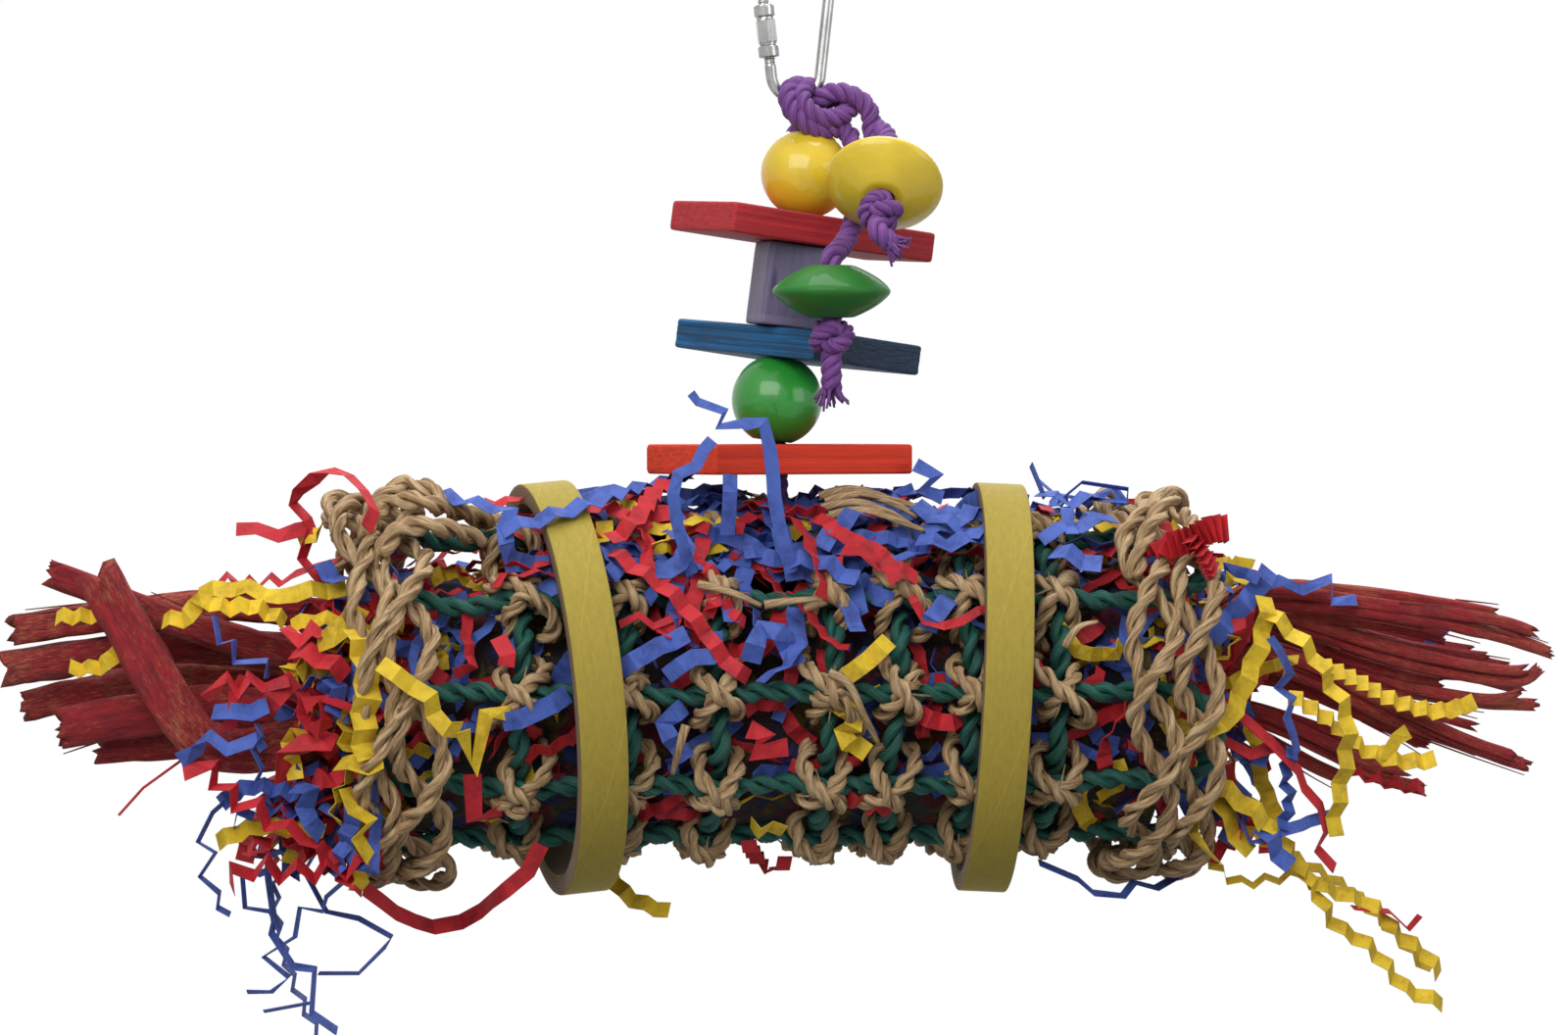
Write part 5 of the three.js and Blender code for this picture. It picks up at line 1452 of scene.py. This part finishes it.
# Palm sticks: width, thickness, then the route as [past the tube's end, depth, height]
STICKS = {"left": (
    (10, 6, (-40, -16, -4), (-4, -18.5, -8), (20, -21, -14), (38, -23, -15), (50, -24, -5),
     (74, -25, 37)),
    (6.5, 5, (-40, -8, 8), (-2, -9, 7), (35, -12, 14), (88, -13, 34)),
    (10, 5, (-40, -8, -12), (-2, -8.5, -10), (40, -10, -4), (86, -11, -10)),
    (7, 5, (-40, 0, 16), (-2, 0, 19), (40, -1, 23), (99, -2, 16)),
    (7.5, 5, (-40, 0, 5), (-2, 0, 8), (50, -1, 12), (101, -2, 5)),
    (7, 5, (-40, 0, -13), (-2, 0, -14), (38, -1, -14), (76, -2, -16)),
    (7, 5, (-40, 8, -4), (-2, 8, 0), (50, 8, 3), (95, 8, -6)),
), "right": (
    (6.5, 4.5, (-40, -14, 12), (-2, -14, 17), (18, -14, 24), (50, -14, 22), (83, -12, 16),
     (100, -11, 10)),
    (6, 4.5, (-40, -6, 12), (-2, -6, 16), (20, -6, 19), (57, -6, 8), (90, -5, 3), (99, -4, 5)),
    (6.5, 4.5, (-40, 2, 8), (-2, 2, 12), (28, 2, 12), (58, 2, 0), (84, 2, -5), (99, 3, -4)),
    (6, 4.5, (-40, -14, -2), (-2, -14, 2), (20, -14, 7), (54, -14, -7), (71, -13, -15), (93, -12, -22)),
    (6.5, 4.5, (-40, 10, 12), (-2, 10, 15), (30, 10, 17), (60, 10, 8), (98, 10, 1)),
    (6, 4.5, (-40, -6, -8), (-2, -6, -7), (15, -6, -9), (38, -6, -18), (50, -6, -25), (65, -6, -28)),
)}

# The slivers of a stick on the right: rise in widths, depth, share of the width, and share of the length kept
SLIVERS = ((-0.3, 0, 0.85, 1.0), (0.2, -1, 0.75, 0.97), (-0.95, 7, 0.9, 0.8), (0.8, 4, 0.7, 0.9))
SLIVER_THICK, SLIVER_SIDES, SLIVER_TAPER, SLIVER_SPREAD = 0.9, 14, 0.35, (0.5, 1.1)
STICK_WIDE, STICK_THICK, STICK_SIDES, STICK_TAPER = 1.25, 1.2, 22, 0.12
STICK_STEP, LOOSE_FIBRES, LOOSE_R = 1.6, 4, (0.34, 0.16)
TORN, TORN_BACK = (-3.2, 1.6), ((1, 1.0), (2, 0.5), (3, 0.2))


def stalk(build, path, width, thick, rng, sides, taper):
    """A split stalk: squarish, ridged along its length, with a torn hollow end and loose fibres."""
    along = tangents(path)
    up = np.array([0, 0, 1.0])
    tall = unit(up - along * along.dot(up)[:, None])
    deep = np.cross(along, tall)
    angle = circle(sides)
    n = len(path)
    ridges = 1 + rng.normal(size=sides) * 0.09
    size = (1 - taper * np.linspace(0, 1, n))[:, None] * ridges[None]
    for k in range(sides):
        size[:, k] *= 1 + 0.05 * smooth_noise(rng, n, 9, False)
    size /= np.maximum(np.abs(np.cos(angle)), np.abs(np.sin(angle))) ** 0.55
    rings = (path[:, None] + tall[:, None] * (width / 2 * np.cos(angle) * size)[..., None]
             + deep[:, None] * (thick / 2 * np.sin(angle) * size)[..., None])
    torn = rng.uniform(*TORN, size=sides)
    for back, share in TORN_BACK:
        rings[-back] += along[-back] * (torn * share)[:, None]

    def inside(place, shift):
        return np.repeat((path[[place]] + along[[place]] * shift)[:, None], sides, 1)

    rings = np.concatenate([inside(0, 0), rings, inside(-1, -1.2) * 0.6 + rings[-1:] * 0.4, inside(-1, -1.8)])
    reach = lengths_along(path)
    build.grid(rings, np.concatenate([[0], reach, reach[-1] + np.array([1, 2])]))
    for _ in range(LOOSE_FIBRES):
        a = rng.uniform(0, FULL_TURN)
        first = rng.integers(n // 4, n - 8)
        last = min(n, first + rng.integers(8, 26))
        off = tall[first:last] * (width / 2 * math.cos(a)) + deep[first:last] * (thick / 2 * math.sin(a))
        loose = path[first:last] + off * np.linspace(0.95, rng.uniform(1.05, 1.5), last - first)[:, None]
        build.tube(loose, carried_normals(loose), np.linspace(*LOOSE_R, len(loose)), 4)


def add_sticks(paints):
    rng = np.random.default_rng(SEED + 6)
    for side, sign in (("left", -1), ("right", 1)):
        for i, (width, thick, *route) in enumerate(STICKS[side]):
            points = [np.array([TUBE_X + sign * (TUBE_LENGTH / 2 + out), y, TUBE_Z + z])
                      for out, y, z in route]
            build = Build()
            if side == "left":
                path = along_path(points, STICK_STEP)[:-3]
                stalk(build, path, width * STICK_WIDE, thick * STICK_THICK, rng, STICK_SIDES, STICK_TAPER)
            else:
                spread = np.linspace(*SLIVER_SPREAD, len(points))
                for shift, back, share, kept in SLIVERS:
                    moved = [p + (0, back + rng.normal() * 0.6, shift * width * s + rng.normal() * 0.7)
                             for p, s in zip(points, spread)]
                    path = along_path(moved, STICK_STEP)
                    path = path[:int(len(path) * kept)]
                    stalk(build, path, width * share, thick * SLIVER_THICK, rng, SLIVER_SIDES, SLIVER_TAPER)
            build.piece(f"palm_{side}_{i + 1}", paints[side], "tube", "stick", f"stick_{side}_{i + 1}")


# The toy: the camera and the cords come first
add_camera()
rope_paint = fibre("purple_rope", srgb(144, 88, 168), srgb(106, 56, 132), srgb(52, 24, 74), 6, 0.7, 0.1)
add_tassels(rope_paint)
add_stage()
add_ropes(rope_paint)
add_link(steel())
add_stack({
    "yellow": lacquer("yellow_lacquer", srgb(238, 206, 50)),
    "green": lacquer("green_lacquer", srgb(42, 150, 52)),
    "saucer": lacquer("saucer_lacquer", srgb(44, 122, 47), 0.14, 0.2, (0.5, 0.6)),
    "red_slat": dyed_wood("red_wood", srgb(188, 38, 48), srgb(146, 27, 37), srgb(190, 40, 50)),
    "blue_slat": dyed_wood("blue_wood", srgb(26, 108, 164), srgb(14, 58, 96), srgb(19, 44, 72), 0.75),
    "orange_slat": dyed_wood("orange_wood", srgb(230, 60, 25), srgb(206, 48, 20), srgb(232, 64, 25)),
    "lavender_block": block_wood(),
})
add_weave(fibre("green_cord", srgb(28, 108, 92), srgb(12, 68, 60), srgb(3, 22, 20), 5, 1.0),
          fibre("natural_cord", srgb(222, 196, 154), srgb(160, 128, 90), srgb(66, 47, 32), 5, 1.0))
add_rings({
    "ring_left": card("card_olive", srgb(174, 154, 58)),
    "ring_right": card("card_gold", srgb(172, 152, 56)),
    "card_edge": card_edge(),
})
add_core(dark_core())
add_paper({
    "red": paper("red_paper", srgb(194, 34, 46), srgb(140, 18, 30)),
    "blue": paper("blue_paper", srgb(72, 98, 182), srgb(44, 62, 134)),
    "yellow": paper("yellow_paper", srgb(226, 192, 44), srgb(178, 144, 26)),
})
# painted light: the right sticks use the same dye as the left, painted 1.35 times brighter
add_sticks({"left": palm("palm_red", 1.0), "right": palm("palm_red_painted_lit", 1.35)})
